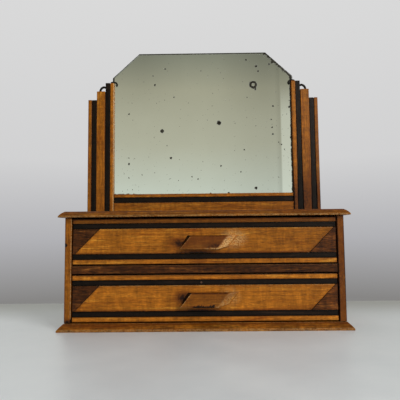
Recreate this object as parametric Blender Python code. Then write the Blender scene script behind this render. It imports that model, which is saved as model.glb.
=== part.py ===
"""A table-top jewelry box with two drawers, crowned by a fixed mirror between two stepped groups of strips.

Metres, +Z up. The origin is the centre of the base board's underside; the drawers open towards -Y.
"""

import math

import bmesh
import bpy
from mathutils import Matrix, Vector

# ---- Case -------------------------------------------------------------------
BOARD_WIDTH = 0.360            # base board and top board, end to end
BOARD_DEPTH = 0.130            # base board and top board, front to back
FRONT_OVERHANG = 0.0071        # board past the case at the front and both ends
BACK_OVERHANG = 0.0010
BASE_THICKNESS = 0.0090
BASE_EDGE = 0.0022             # upright edge under the base board's bevel
BASE_CROWN = 0.0003            # how far the bevel swells out
TOP_THICKNESS = 0.0075
TOP_EDGE = 0.0014
TOP_CROWN = 0.0008
BEVEL_MARGIN = 0.0003          # level rim left between a bevel and the case
SIDE_THICKNESS = 0.0083
BACK_THICKNESS = 0.0040
RAIL_HEIGHT = 0.0102           # dark rail between the drawers
RAIL_DEPTH = 0.0180
RUNNER_WIDTH = 0.0090
GLUE_LINE = 0.0003             # gap between pieces that are glued or seated

# ---- Drawers ----------------------------------------------------------------
LIGHT_STRIP = 0.0060           # heights of the bands of a drawer front
BLACK_STRIP = 0.0066
PANEL_HEIGHT = 0.0314
FRONT_RECESS = 0.0013          # drawer front behind the case's front edges
BLACK_RECESS = 0.0007          # black bands behind the light ones
FACING_THICKNESS = 0.0030
CORE_THICKNESS = 0.0060
FRONT_SIDE_GAP = 0.0012        # beside the drawer front
FOOT_GAP = 0.0014              # below the drawer front
HEAD_GAP = 0.0019              # above the drawer front
CORNER_BLUNT = 0.0020          # narrow end of a corner piece
RUN_GAP = 0.0003               # drawer above what it slides on
BOX_SIDE_GAP = 0.0010          # drawer box beside the case
BOX_SIDE_THICKNESS = 0.0050
BOX_SIDE_HEIGHT = 0.0480
BOX_BACK_THICKNESS = 0.0050
BOX_BACK_GAP = 0.0008          # drawer to the back panel when shut
BOTTOM_THICKNESS = 0.0030
BOTTOM_LIFT = 0.0040           # drawer bottom above the sides' lower edges
GROOVE_DEPTH = 0.0025
LINING_THICKNESS = 0.0010

# ---- Pull -------------------------------------------------------------------
PULL_WIDTH = 0.0460            # flat face of the pull, along its lower edge
PULL_HEIGHT = 0.0173
PULL_LEAN = 0.0140             # top edge further right than the lower one
PULL_DROP = 0.0020             # pull's centre below the panel's centre
PULL_TOP_DEPTH = 0.0040
PULL_LIP_DEPTH = 0.0100
PULL_LIP_HEIGHT = 0.0012
PULL_ROOT_HEIGHT = 0.0120      # where the pull meets the panel, below its top
PULL_LEFT_RAMP = 0.0040
PULL_RIGHT_RAMP = 0.0120
PULL_FEATHER = 0.06            # share of the depth left at the ramps' ends

# ---- Mirror and posts -------------------------------------------------------
POST_INSET = 0.0021            # outermost strip inside the case's outer face
POST_SETBACK = 0.0140          # backs of the strips from the board's back edge
POST_DEPTH = 0.0160
OUTER_LIGHT = 0.0055           # widths of the strips, from outside in
OUTER_BLACK = 0.0071
MIDDLE_LIGHT = 0.0128
INNER_BLACK = 0.0071
INNER_LIGHT = 0.0061
INNER_RISE = 0.1975            # tallest strips above the top board
POST_STEP = 0.0130
POST_BLACK_RECESS = 0.0008
BROAD_RAIL_HEIGHT = 0.0168     # bands under the mirror
BLACK_RAIL_HEIGHT = 0.0076
LEDGE_HEIGHT = 0.0050
MIRROR_RAIL_RECESS = 0.0020    # bands behind the strips' fronts
MIRROR_RAIL_BACK = 0.0020      # bands' backs ahead of the strips' backs
GLASS_THICKNESS = 0.0040
GLASS_SETBACK = 0.0045         # glass behind the strips' fronts
GLASS_TUCK = 0.0030            # glass let into each inner strip
GLASS_SEAT = 0.0024            # glass let into the ledge
GLASS_RISE = 0.2430            # top of the glass above the top board
CHAMFER_WIDTH = 0.0400
CHAMFER_HEIGHT = 0.0370
BACKING_THICKNESS = 0.0030
BACKING_INSET = 0.0015         # backing inside the glass's outline
SLIDE_FIT = 0.0003             # glass and backing in their grooves

# ---- Wire clips and fasteners -----------------------------------------------
WIRE_RADIUS = 0.0011
EYE_RADIUS = 0.0026
EYE_DROP = 0.0140              # clip's eye below the middle strip's top
ARCH_RISE = 0.0120             # clip's arch above the middle strip's top
BEAD_SCALE = 1.3
SCREW_CLEARANCE = 0.0003
SCREW_SIDES = 16
POST_SCREW = {"shank": 0.0015, "head": 0.0032, "head_height": 0.0018, "length": 0.0260}
PULL_SCREW = {"shank": 0.0012, "head": 0.0026, "head_height": 0.0015, "length": 0.0134}
CLIP_SCREW = {"shank": 0.0010, "head": 0.0029, "head_height": 0.0016, "length": 0.0130}
STRIP_PIN = {"shank": 0.0006, "head": 0.0014, "head_height": 0.0006, "length": 0.0045}
PIN_OFFSET = -0.0040           # pin's place along the lower drawer's upper black band

ARRIS = 0.0005                 # softened edges of cases, bands and strips
FINE_ARRIS = 0.0003

# ---- Worked out from the sizes above ----------------------------------------
BOARD_FRONT = -BOARD_DEPTH / 2
BOARD_BACK = BOARD_DEPTH / 2
CASE_FRONT = BOARD_FRONT + FRONT_OVERHANG
CASE_BACK = BOARD_BACK - BACK_OVERHANG
CASE_HALF = BOARD_WIDTH / 2 - FRONT_OVERHANG
BAY_HALF = CASE_HALF - SIDE_THICKNESS
FRONT_HEIGHT = 2 * LIGHT_STRIP + 2 * BLACK_STRIP + PANEL_HEIGHT
BAY_HEIGHT = FOOT_GAP + FRONT_HEIGHT + HEAD_GAP
RAIL_BOTTOM = BASE_THICKNESS + BAY_HEIGHT
RAIL_TOP = RAIL_BOTTOM + RAIL_HEIGHT
TOP_BOTTOM = RAIL_TOP + BAY_HEIGHT
TOP_SURFACE = TOP_BOTTOM + TOP_THICKNESS
BACK_PANEL_FACE = CASE_BACK - BACK_THICKNESS

FACING_FRONT = CASE_FRONT + FRONT_RECESS
FACING_BACK = FACING_FRONT + FACING_THICKNESS
CORE_FACE = FACING_BACK + GLUE_LINE
CORE_BACK = CORE_FACE + CORE_THICKNESS
FRONT_HALF = BAY_HALF - FRONT_SIDE_GAP
BOX_HALF = BAY_HALF - BOX_SIDE_GAP
BOX_BACK = BACK_PANEL_FACE - BOX_BACK_GAP
BOX_INNER_HALF = BOX_HALF - BOX_SIDE_THICKNESS

POST_BACK = BOARD_BACK - POST_SETBACK
POST_FRONT = POST_BACK - POST_DEPTH
POST_FOOT = TOP_SURFACE + GLUE_LINE
INNER_TOP = TOP_SURFACE + INNER_RISE
MIDDLE_TOP = INNER_TOP - POST_STEP
OUTER_TOP = MIDDLE_TOP - POST_STEP
POST_OUTER = CASE_HALF - POST_INSET
OUTER_BLACK_EDGE = POST_OUTER - OUTER_LIGHT
MIDDLE_EDGE = OUTER_BLACK_EDGE - OUTER_BLACK
INNER_BLACK_EDGE = MIDDLE_EDGE - MIDDLE_LIGHT
INNER_EDGE = INNER_BLACK_EDGE - INNER_BLACK
MIRROR_HALF = INNER_EDGE - INNER_LIGHT
MIDDLE_CENTRE = MIDDLE_EDGE - MIDDLE_LIGHT / 2
GLASS_FACE = POST_FRONT + GLASS_SETBACK
GLASS_BACK = GLASS_FACE + GLASS_THICKNESS
BACKING_FACE = GLASS_BACK + GLUE_LINE
BACKING_BACK = BACKING_FACE + BACKING_THICKNESS
GLASS_HALF = MIRROR_HALF + GLASS_TUCK
GLASS_TOP = TOP_SURFACE + GLASS_RISE
LEDGE_TOP = POST_FOOT + BROAD_RAIL_HEIGHT + BLACK_RAIL_HEIGHT + LEDGE_HEIGHT
GLASS_FOOT = LEDGE_TOP - GLASS_SEAT
MIRROR_RAIL_FRONT = POST_FRONT + MIRROR_RAIL_RECESS

FINISHES = {                   # colour, roughness, metallic
    "honey_wood": ((0.30, 0.125, 0.026), 0.30, 0.0),
    "black_wood": ((0.012, 0.010, 0.008), 0.32, 0.0),
    "walnut": ((0.080, 0.032, 0.014), 0.34, 0.0),
    "drawer_wood": ((0.36, 0.22, 0.10), 0.55, 0.0),
    "plywood": ((0.33, 0.20, 0.09), 0.65, 0.0),
    "mirror_glass": ((0.72, 0.74, 0.66), 0.05, 1.0),
    "dark_wire": ((0.020, 0.018, 0.016), 0.45, 0.8),
    "steel": ((0.38, 0.36, 0.33), 0.40, 1.0),
    "felt": ((0.10, 0.018, 0.020), 0.95, 0.0),
}


def clear_scene():
    for item in list(bpy.data.objects):
        bpy.data.objects.remove(item)


def make_finishes():
    made = {}
    for name, (colour, roughness, metallic) in FINISHES.items():
        material = bpy.data.materials.new(name)
        material.use_nodes = True
        shader = material.node_tree.nodes["Principled BSDF"]
        shader.inputs["Base Color"].default_value = (*colour, 1.0)
        shader.inputs["Roughness"].default_value = roughness
        shader.inputs["Metallic"].default_value = metallic
        made[name] = material
    return made


def add_object(name, data, finish, parent=None):
    """Links an object for data, whose points are in world space, and gives it its finish and parent."""
    item = bpy.data.objects.new(name, data)
    bpy.context.scene.collection.objects.link(item)
    data.materials.append(MATERIALS[finish])
    if parent is not None:
        item.parent = parent
        item.matrix_parent_inverse = Matrix.Translation(-parent.location)
    return item


def centre_origin(item):
    """Moves the object's origin to the middle of its points."""
    points = [vertex.co for vertex in item.data.vertices]
    low = Vector([min(point[axis] for point in points) for axis in range(3)])
    high = Vector([max(point[axis] for point in points) for axis in range(3)])
    middle = (low + high) / 2
    item.data.transform(Matrix.Translation(-middle))
    item.location = middle


def mesh_object(name, shape, finish, parent=None, arris=0.0):
    """Makes an object of a bmesh, with softened edges where an arris is given."""
    bmesh.ops.recalc_face_normals(shape, faces=shape.faces)
    mesh = bpy.data.meshes.new(name)
    shape.to_mesh(mesh)
    shape.free()
    item = add_object(name, mesh, finish, parent)
    centre_origin(item)
    if arris > 0:
        soften = item.modifiers.new("arris", "BEVEL")
        soften.width = arris
        soften.segments = 2
        soften.limit_method = "ANGLE"
    return item


def block(name, x_span, y_span, z_span, finish, parent=None, arris=ARRIS):
    """A squared piece between two planes on each axis."""
    shape = bmesh.new()
    bmesh.ops.create_cube(shape, size=1.0)
    spans = (x_span, y_span, z_span)
    for vertex in shape.verts:
        for axis, (low, high) in enumerate(spans):
            vertex.co[axis] = high if vertex.co[axis] > 0 else low
    return mesh_object(name, shape, finish, parent, arris)


def extruded(name, outline, axis, span, finish, parent=None, arris=0.0):
    """A straight piece whose outline lies across the axis: (y, z) along X, (x, z) along Y, (x, y) along Z."""
    shape = bmesh.new()
    ends = []
    for along in span:
        ring = []
        for point in outline:
            place = list(point)
            place.insert(axis, along)
            ring.append(shape.verts.new(place))
        ends.append(ring)
    shape.faces.new(ends[0])
    shape.faces.new(reversed(ends[1]))
    count = len(outline)
    for index in range(count):
        following = (index + 1) % count
        shape.faces.new((ends[0][index], ends[0][following], ends[1][following], ends[1][index]))
    return mesh_object(name, shape, finish, parent, arris)


def bevelled_board(name, floor, thickness, edge, crown, finish):
    """A board with an upright edge and a swelling bevel along its front and both ends; its back is square."""
    bevel = FRONT_OVERHANG - BEVEL_MARGIN
    steps = 4
    levels = [(0.0, 0.0), (edge, 0.0)]
    for step in range(1, steps + 1):
        share = step / steps
        swell = crown * math.sin(math.pi * share)
        rise = edge + share * (thickness - edge) + swell / 2
        levels.append((min(rise, thickness), bevel * share - swell / 2))
    shape = bmesh.new()
    rings = []
    for rise, inset in levels:
        half = BOARD_WIDTH / 2 - inset
        front = BOARD_FRONT + inset
        corners = ((-half, front), (half, front), (half, BOARD_BACK), (-half, BOARD_BACK))
        rings.append([shape.verts.new((x, y, floor + rise)) for x, y in corners])
    shape.faces.new(reversed(rings[0]))
    shape.faces.new(rings[-1])
    for lower, upper in zip(rings, rings[1:]):
        for index in range(4):
            following = (index + 1) % 4
            shape.faces.new((lower[index], lower[following], upper[following], upper[index]))
    return mesh_object(name, shape, finish)


def turned(name, profile, foot, direction, finish, parent=None):
    """A closed turned piece: profile is (radius, height) from the foot up, with both ends on the axis."""
    shape = bmesh.new()
    turn = Vector((0, 0, 1)).rotation_difference(Vector(direction)).to_matrix().to_4x4()
    place = Matrix.Translation(foot) @ turn
    first = shape.verts.new(place @ Vector((0, 0, profile[0][1])))
    last = shape.verts.new(place @ Vector((0, 0, profile[-1][1])))
    rings = []
    for radius, height in profile[1:-1]:
        ring = []
        for side in range(SCREW_SIDES):
            angle = 2 * math.pi * side / SCREW_SIDES
            point = Vector((radius * math.cos(angle), radius * math.sin(angle), height))
            ring.append(shape.verts.new(place @ point))
        rings.append(ring)
    for side in range(SCREW_SIDES):
        following = (side + 1) % SCREW_SIDES
        shape.faces.new((first, rings[0][following], rings[0][side]))
        shape.faces.new((last, rings[-1][side], rings[-1][following]))
        for lower, upper in zip(rings, rings[1:]):
            shape.faces.new((lower[side], lower[following], upper[following], upper[side]))
    item = mesh_object(name, shape, finish, parent)
    item.data.shade_smooth()
    item.data.set_sharp_from_angle(angle=math.radians(35))
    return item


def countersunk_profile(screw, spare=0.0):
    """A countersunk screw from the flat of its head at height 0 to its point; spare widens it into its hole."""
    head, shank, length = screw["head"] + spare, screw["shank"] + spare, screw["length"] + spare
    taper = 2 * screw["shank"]
    return [
        (0, -spare),
        (head, -spare),
        (shank, screw["head_height"] + spare),
        (shank, length - taper),
        (shank / 2, length),
        (0, length),
    ]


def round_head_profile(screw, collar):
    """A round-head screw: the head's underside is at height 0, and the shank starts below it at the collar."""
    head, shank, rise = screw["head"], screw["shank"], screw["head_height"]
    taper = 2 * shank
    dome = [(head * math.cos(angle), rise * (0.35 + 0.65 * math.sin(angle)))
            for angle in (0.0, math.pi / 6, math.pi / 3)]
    return [
        (0, collar - screw["length"]),
        (shank / 2, collar - screw["length"]),
        (shank, collar - screw["length"] + taper),
        (shank, 0),
        (head, 0),
        *dome,
        (0, rise),
    ]


def bore(item, name, profile, foot, direction):
    """Cuts a turned hole in the item with a hidden cutter."""
    cutter = turned(name, profile, foot, direction, "steel", item.parent)
    cutter.hide_render = True
    cutter.display_type = "WIRE"
    cut = item.modifiers.new(name, "BOOLEAN")
    cut.operation = "DIFFERENCE"
    cut.solver = "EXACT"
    cut.object = cutter


def build_case():
    bevelled_board("base_board", 0.0, BASE_THICKNESS, BASE_EDGE, BASE_CROWN, "honey_wood")
    top_board = bevelled_board("top_board", TOP_BOTTOM, TOP_THICKNESS, TOP_EDGE, TOP_CROWN, "honey_wood")
    z_span = (BASE_THICKNESS + GLUE_LINE, TOP_BOTTOM - GLUE_LINE)
    inner_half = BAY_HALF - GLUE_LINE
    for side, sign in (("left", -1), ("right", 1)):
        x_span = sorted((sign * BAY_HALF, sign * CASE_HALF))
        block(f"{side}_side_panel", x_span, (CASE_FRONT, CASE_BACK), z_span, "honey_wood")
        x_span = sorted((sign * inner_half, sign * (inner_half - RUNNER_WIDTH)))
        y_span = (CASE_FRONT + FRONT_RECESS + RAIL_DEPTH + GLUE_LINE, BACK_PANEL_FACE - GLUE_LINE)
        block(f"{side}_runner", x_span, y_span, (RAIL_BOTTOM, RAIL_TOP), "drawer_wood")
    block("back_panel", (-inner_half, inner_half), (BACK_PANEL_FACE, CASE_BACK), z_span, "plywood", arris=0.0)
    rail_y = (FACING_FRONT, FACING_FRONT + RAIL_DEPTH)
    block("divider_rail", (-inner_half, inner_half), rail_y, (RAIL_BOTTOM, RAIL_TOP), "walnut")
    return top_board


def corner_outline(sign, low, high, slope_gap):
    """The (x, z) outline of a dark corner piece; sign -1 is the upper left one, +1 the lower right one."""
    outer = sign * (FRONT_HALF - FINE_ARRIS)
    rise = high - low
    near, far = (CORNER_BLUNT, CORNER_BLUNT + rise)
    wide_z, narrow_z = (high, low) if sign < 0 else (low, high)
    return [
        (outer, narrow_z),
        (outer, wide_z),
        (outer - sign * (far - slope_gap), wide_z),
        (outer - sign * (near - slope_gap), narrow_z),
    ]


def panel_outline(low, high, slope_gap):
    """The (x, z) outline of the leaning panel, whose ends run at 45 degrees from corner to corner."""
    outer = FRONT_HALF - FINE_ARRIS
    near = outer - CORNER_BLUNT - slope_gap
    far = near - (high - low)
    return [(-near, low), (far, low), (near, high), (-far, high)]


def pull_section(centre_z):
    """The (y, z) outline of the pull's middle, convex, with its lip lower than its root."""
    root_y = FACING_FRONT - GLUE_LINE
    top = centre_z + PULL_HEIGHT / 2
    lip = centre_z - PULL_HEIGHT / 2
    return [
        (root_y, top),
        (root_y - PULL_TOP_DEPTH, top),
        (root_y - PULL_LIP_DEPTH, lip + PULL_LIP_HEIGHT),
        (root_y - PULL_LIP_DEPTH + PULL_LIP_HEIGHT, lip),
        (root_y, top - PULL_ROOT_HEIGHT),
    ]


def build_pull(name, centre_z, parent):
    """A leaning pull carved proud of the panel: a steep left end, a long right ramp and an undercut lip."""
    section = pull_section(centre_z)
    root_y, root_z = section[-1]
    left = -PULL_WIDTH / 2
    stations = (
        (left - PULL_LEFT_RAMP, PULL_FEATHER),
        (left, 1.0),
        (left + PULL_WIDTH, 1.0),
        (left + PULL_WIDTH + PULL_RIGHT_RAMP, PULL_FEATHER),
    )
    shape = bmesh.new()
    rings = []
    for x, share in stations:
        ring = []
        for y, z in section:
            height = max(z, root_z) + share * min(z - root_z, 0)
            lean = PULL_LEAN * (height - centre_z) / PULL_HEIGHT
            ring.append(shape.verts.new((x + lean, root_y + share * (y - root_y), height)))
        rings.append(ring)
    shape.faces.new(rings[0])
    shape.faces.new(reversed(rings[-1]))
    count = len(section)
    for near, far in zip(rings, rings[1:]):
        for index in range(count):
            following = (index + 1) % count
            shape.faces.new((near[index], near[following], far[following], far[index]))
    return mesh_object(name, shape, "honey_wood", parent)


def build_drawer_front(name, floor, parent):
    """The faced front: a core board, and on it bands, a leaning panel, two dark corners and the pull."""
    half = FRONT_HALF
    y_light = (FACING_FRONT, FACING_BACK)
    y_black = (FACING_FRONT + BLACK_RECESS, FACING_BACK)
    seam = GLUE_LINE / 2
    bands = (
        ("lower_light_band", LIGHT_STRIP, y_light, "honey_wood"),
        ("lower_black_band", BLACK_STRIP, y_black, "black_wood"),
        (None, PANEL_HEIGHT, None, None),
        ("upper_black_band", BLACK_STRIP, y_black, "black_wood"),
        ("upper_light_band", LIGHT_STRIP, y_light, "honey_wood"),
    )
    made = {}
    level = floor
    for band, height, y_span, finish in bands:
        low, high = level + seam, level + height - seam
        level += height
        if band is not None:
            made[band] = block(f"{name}_{band}", (-half, half), y_span, (low, high), finish, parent)
            continue
        outline = panel_outline(low, high, GLUE_LINE / 2)
        made["panel"] = extruded(f"{name}_panel", outline, 1, y_light, "honey_wood", parent, FINE_ARRIS)
        for place, sign in (("left", -1), ("right", 1)):
            outline = corner_outline(sign, low, high, GLUE_LINE / 2)
            extruded(f"{name}_{place}_corner", outline, 1, y_light, "walnut", parent, FINE_ARRIS)
        centre_z = (low + high) / 2 - PULL_DROP
        made["pull"] = build_pull(f"{name}_pull", centre_z, parent)
    return made, centre_z


def build_core(name, floor, slide_floor, parent):
    """The front's core board, grooved on its back for the drawer bottom."""
    groove_low = slide_floor + BOTTOM_LIFT - SLIDE_FIT
    groove_high = groove_low + BOTTOM_THICKNESS + 2 * SLIDE_FIT
    outline = [
        (CORE_FACE, floor),
        (CORE_BACK, floor),
        (CORE_BACK, groove_low),
        (CORE_BACK - GROOVE_DEPTH, groove_low),
        (CORE_BACK - GROOVE_DEPTH, groove_high),
        (CORE_BACK, groove_high),
        (CORE_BACK, floor + FRONT_HEIGHT),
        (CORE_FACE, floor + FRONT_HEIGHT),
    ]
    return extruded(f"{name}_core", outline, 0, (-FRONT_HALF, FRONT_HALF), "drawer_wood", parent)


def build_drawer_box(name, slide_floor, parent):
    """The sides, back, bottom and lining behind a drawer front."""
    groove_low = slide_floor + BOTTOM_LIFT - SLIDE_FIT
    groove_high = groove_low + BOTTOM_THICKNESS + 2 * SLIDE_FIT
    side_front = CORE_BACK + GLUE_LINE
    top = slide_floor + BOX_SIDE_HEIGHT
    for side, sign in (("left", -1), ("right", 1)):
        outline = [
            (sign * BOX_HALF, slide_floor),
            (sign * BOX_INNER_HALF, slide_floor),
            (sign * BOX_INNER_HALF, groove_low),
            (sign * (BOX_INNER_HALF + GROOVE_DEPTH), groove_low),
            (sign * (BOX_INNER_HALF + GROOVE_DEPTH), groove_high),
            (sign * BOX_INNER_HALF, groove_high),
            (sign * BOX_INNER_HALF, top),
            (sign * BOX_HALF, top),
        ]
        y_span = (side_front, BOX_BACK)
        extruded(f"{name}_{side}_side", outline, 1, y_span, "drawer_wood", parent, FINE_ARRIS)
    bottom_low = slide_floor + BOTTOM_LIFT
    bottom_high = bottom_low + BOTTOM_THICKNESS
    bottom_half = BOX_INNER_HALF + GROOVE_DEPTH - SLIDE_FIT
    bottom_y = (CORE_BACK - GROOVE_DEPTH + SLIDE_FIT, BOX_BACK)
    block(f"{name}_bottom", (-bottom_half, bottom_half), bottom_y, (bottom_low, bottom_high), "plywood", parent, 0.0)
    inner_half = BOX_INNER_HALF - GLUE_LINE
    back_y = (BOX_BACK - BOX_BACK_THICKNESS, BOX_BACK)
    back_z = (bottom_high + GLUE_LINE, top)
    block(f"{name}_back", (-inner_half, inner_half), back_y, back_z, "drawer_wood", parent, FINE_ARRIS)
    lining_y = (side_front, back_y[0] - GLUE_LINE)
    lining_z = (bottom_high + GLUE_LINE, bottom_high + GLUE_LINE + LINING_THICKNESS)
    block(f"{name}_lining", (-inner_half, inner_half), lining_y, lining_z, "felt", parent, 0.0)


def build_drawer(name, bay_floor):
    """One drawer, parented to an empty on its slide line."""
    floor = bay_floor + FOOT_GAP
    slide_floor = bay_floor + RUN_GAP
    slide_line = bpy.data.objects.new(f"{name}_slide_line", None)
    slide_line.location = (0, CASE_FRONT, floor)
    bpy.context.scene.collection.objects.link(slide_line)
    faced, pull_z = build_drawer_front(name, floor, slide_line)
    core = build_core(name, floor, slide_floor, slide_line)
    build_drawer_box(name, slide_floor, slide_line)
    foot = Vector((0, CORE_BACK, pull_z))
    outwards = (0, -1, 0)
    turned(f"{name}_pull_screw", countersunk_profile(PULL_SCREW), foot, outwards, "steel", slide_line)
    hole = countersunk_profile(PULL_SCREW, SCREW_CLEARANCE)
    for item in (core, faced["panel"], faced["pull"]):
        bore(item, f"{item.name}_hole", hole, foot, outwards)
    return faced


def build_strip_pin(faced, slide_line):
    """The small pin whose head shows in the lower drawer's upper black band."""
    band = faced["upper_black_band"]
    face_y = FACING_FRONT + BLACK_RECESS
    place = Vector((PIN_OFFSET, face_y - GLUE_LINE, slide_line.location.z + band_centre()))
    profile = round_head_profile(STRIP_PIN, GLUE_LINE)
    turned("strip_pin", profile, place, (0, -1, 0), "steel", slide_line)
    spare = SCREW_CLEARANCE
    depth = STRIP_PIN["length"]
    radius = STRIP_PIN["shank"] + spare
    hole = [(0, -depth - spare), (radius, -depth - spare), (radius, spare), (0, spare)]
    bore(band, "band_pin_hole", hole, place, (0, -1, 0))
    core = bpy.data.objects["lower_drawer_core"]
    bore(core, "core_pin_hole", hole, place, (0, -1, 0))


def band_centre():
    """The upper black band's middle above a drawer front's lower edge."""
    return LIGHT_STRIP + BLACK_STRIP + PANEL_HEIGHT + BLACK_STRIP / 2


def build_strips(side, sign):
    """The five upright strips of one side, from outside in; the inner one is grooved for the glass."""
    seam = GLUE_LINE / 2
    strips = (
        ("outer_light_strip", POST_OUTER, OUTER_BLACK_EDGE, OUTER_TOP, 0.0, "honey_wood"),
        ("outer_black_strip", OUTER_BLACK_EDGE, MIDDLE_EDGE, OUTER_TOP, POST_BLACK_RECESS, "black_wood"),
        ("middle_strip", MIDDLE_EDGE, INNER_BLACK_EDGE, MIDDLE_TOP, 0.0, "honey_wood"),
        ("inner_black_strip", INNER_BLACK_EDGE, INNER_EDGE, INNER_TOP, POST_BLACK_RECESS, "black_wood"),
    )
    made = {}
    for name, outer, inner, top, recess, finish in strips:
        x_span = sorted((sign * (outer - seam), sign * (inner + seam)))
        y_span = (POST_FRONT + recess, POST_BACK)
        made[name] = block(f"{side}_{name}", x_span, y_span, (POST_FOOT, top), finish)
    outer, inner = sign * (INNER_EDGE - seam), sign * MIRROR_HALF
    groove = sign * (GLASS_HALF + SLIDE_FIT)
    groove_front, groove_back = GLASS_FACE - SLIDE_FIT, BACKING_BACK + SLIDE_FIT
    outline = [
        (outer, POST_FRONT),
        (inner, POST_FRONT),
        (inner, groove_front),
        (groove, groove_front),
        (groove, groove_back),
        (inner, groove_back),
        (inner, POST_BACK),
        (outer, POST_BACK),
    ]
    z_span = (POST_FOOT, INNER_TOP)
    extruded(f"{side}_inner_light_strip", outline, 2, z_span, "honey_wood", arris=FINE_ARRIS)
    return made


def build_post_screw(side, sign, top_board, middle_strip):
    """A countersunk screw up through the top board into the middle strip."""
    foot = Vector((sign * MIDDLE_CENTRE, (POST_FRONT + POST_BACK) / 2, TOP_BOTTOM))
    upwards = (0, 0, 1)
    turned(f"{side}_post_screw", countersunk_profile(POST_SCREW), foot, upwards, "steel")
    hole = countersunk_profile(POST_SCREW, SCREW_CLEARANCE)
    bore(top_board, f"{side}_board_hole", hole, foot, upwards)
    bore(middle_strip, f"{side}_strip_hole", hole, foot, upwards)


def build_mirror_rails():
    """The three bands under the mirror; the ledge on top is grooved for the glass and its backing."""
    half = MIRROR_HALF - GLUE_LINE
    back = POST_BACK - MIRROR_RAIL_BACK
    seam = GLUE_LINE / 2
    broad_top = POST_FOOT + BROAD_RAIL_HEIGHT
    black_top = broad_top + BLACK_RAIL_HEIGHT
    x_span = (-half, half)
    y_light = (MIRROR_RAIL_FRONT, back)
    y_black = (MIRROR_RAIL_FRONT + POST_BLACK_RECESS, back)
    block("mirror_broad_rail", x_span, y_light, (POST_FOOT, broad_top - seam), "honey_wood")
    block("mirror_black_rail", x_span, y_black, (broad_top + seam, black_top - seam), "black_wood")
    groove_floor = GLASS_FOOT - SLIDE_FIT
    groove_front, groove_back = GLASS_FACE - SLIDE_FIT, BACKING_BACK + SLIDE_FIT
    outline = [
        (MIRROR_RAIL_FRONT, black_top + seam),
        (back, black_top + seam),
        (back, LEDGE_TOP),
        (groove_back, LEDGE_TOP),
        (groove_back, groove_floor),
        (groove_front, groove_floor),
        (groove_front, LEDGE_TOP),
        (MIRROR_RAIL_FRONT, LEDGE_TOP),
    ]
    extruded("mirror_ledge", outline, 0, x_span, "honey_wood", arris=FINE_ARRIS)


def mirror_outline(inset):
    """The (x, z) outline of the mirror, clipped at its upper corners; inset brings its free edges in."""
    half = GLASS_HALF - inset
    top = GLASS_TOP - inset
    shoulder = top - CHAMFER_HEIGHT
    crown_half = half - CHAMFER_WIDTH
    foot = GLASS_FOOT
    return [
        (-half, foot),
        (half, foot),
        (half, shoulder),
        (crown_half, top),
        (-crown_half, top),
        (-half, shoulder),
    ]


def build_glass():
    extruded("mirror_glass", mirror_outline(0.0), 1, (GLASS_FACE, GLASS_BACK), "mirror_glass", arris=FINE_ARRIS)
    # The backing is narrower than the grooves, so that it shows nowhere past the glass.
    extruded("mirror_backing", mirror_outline(BACKING_INSET), 1, (BACKING_FACE, BACKING_BACK), "plywood")


def build_clip(side, sign, middle_strip):
    """A bent wire: an eye behind the middle strip, an arch over it, and a hook that holds the glass."""
    behind = POST_BACK + GLUE_LINE + WIRE_RADIUS
    ahead = GLASS_FACE - GLUE_LINE - BEAD_SCALE * WIRE_RADIUS
    over = INNER_TOP + GLUE_LINE + WIRE_RADIUS
    eye = Vector((MIDDLE_CENTRE, behind, MIDDLE_TOP - EYE_DROP))
    path = []
    eye_steps = 7
    for step in range(eye_steps):
        angle = math.radians(-20 - 250 * step / (eye_steps - 1))
        path.append((eye.x + EYE_RADIUS * math.cos(angle), behind, eye.z + EYE_RADIUS * math.sin(angle)))
    path += [
        (eye.x + 0.8 * EYE_RADIUS, behind, eye.z + 3 * EYE_RADIUS),
        (eye.x + 2 * EYE_RADIUS, behind, MIDDLE_TOP + 0.55 * ARCH_RISE),
        (eye.x + 0.2 * EYE_RADIUS, behind, MIDDLE_TOP + ARCH_RISE),
        (INNER_BLACK_EDGE, behind, MIDDLE_TOP + 0.85 * ARCH_RISE),
        (INNER_EDGE, behind, over - WIRE_RADIUS),
        (GLASS_HALF + 2.2 * WIRE_RADIUS, POST_BACK - 2 * WIRE_RADIUS, over),
        (GLASS_HALF + 2 * WIRE_RADIUS, (POST_BACK + GLASS_FACE) / 2, over),
        (GLASS_HALF + 2 * WIRE_RADIUS, GLASS_FACE, over),
        (GLASS_HALF, ahead, over),
        (MIRROR_HALF - WIRE_RADIUS, ahead, over - 0.2 * WIRE_RADIUS),
        (MIRROR_HALF - 3.4 * WIRE_RADIUS, ahead, over - 2 * WIRE_RADIUS),
        (MIRROR_HALF - 2.8 * WIRE_RADIUS, ahead, over - 4 * WIRE_RADIUS),
        (MIRROR_HALF - 1.8 * WIRE_RADIUS, ahead, over - 4.6 * WIRE_RADIUS),
    ]
    curve = bpy.data.curves.new(f"{side}_clip", "CURVE")
    curve.dimensions = "3D"
    curve.resolution_u = 4
    curve.bevel_depth = WIRE_RADIUS
    curve.bevel_resolution = 1
    curve.use_fill_caps = True
    spline = curve.splines.new("BEZIER")
    spline.bezier_points.add(len(path) - 1)
    for index, (point, (x, y, z)) in enumerate(zip(spline.bezier_points, path)):
        point.co = (sign * x, y, z)
        point.handle_left_type = "AUTO"
        point.handle_right_type = "AUTO"
        point.radius = BEAD_SCALE if index >= len(path) - 2 else 1.0
    add_object(f"{side}_clip", curve, "dark_wire")
    head_seat = Vector((sign * eye.x, behind + WIRE_RADIUS + GLUE_LINE, eye.z))
    backwards = (0, 1, 0)
    turned(f"{side}_clip_screw", round_head_profile(CLIP_SCREW, 0.0), head_seat, backwards, "steel")
    spare = SCREW_CLEARANCE
    radius = CLIP_SCREW["shank"] + spare
    depth = CLIP_SCREW["length"] + spare
    hole = [(0, -depth), (radius, -depth), (radius, spare), (0, spare)]
    bore(middle_strip, f"{side}_clip_hole", hole, head_seat, backwards)


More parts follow.
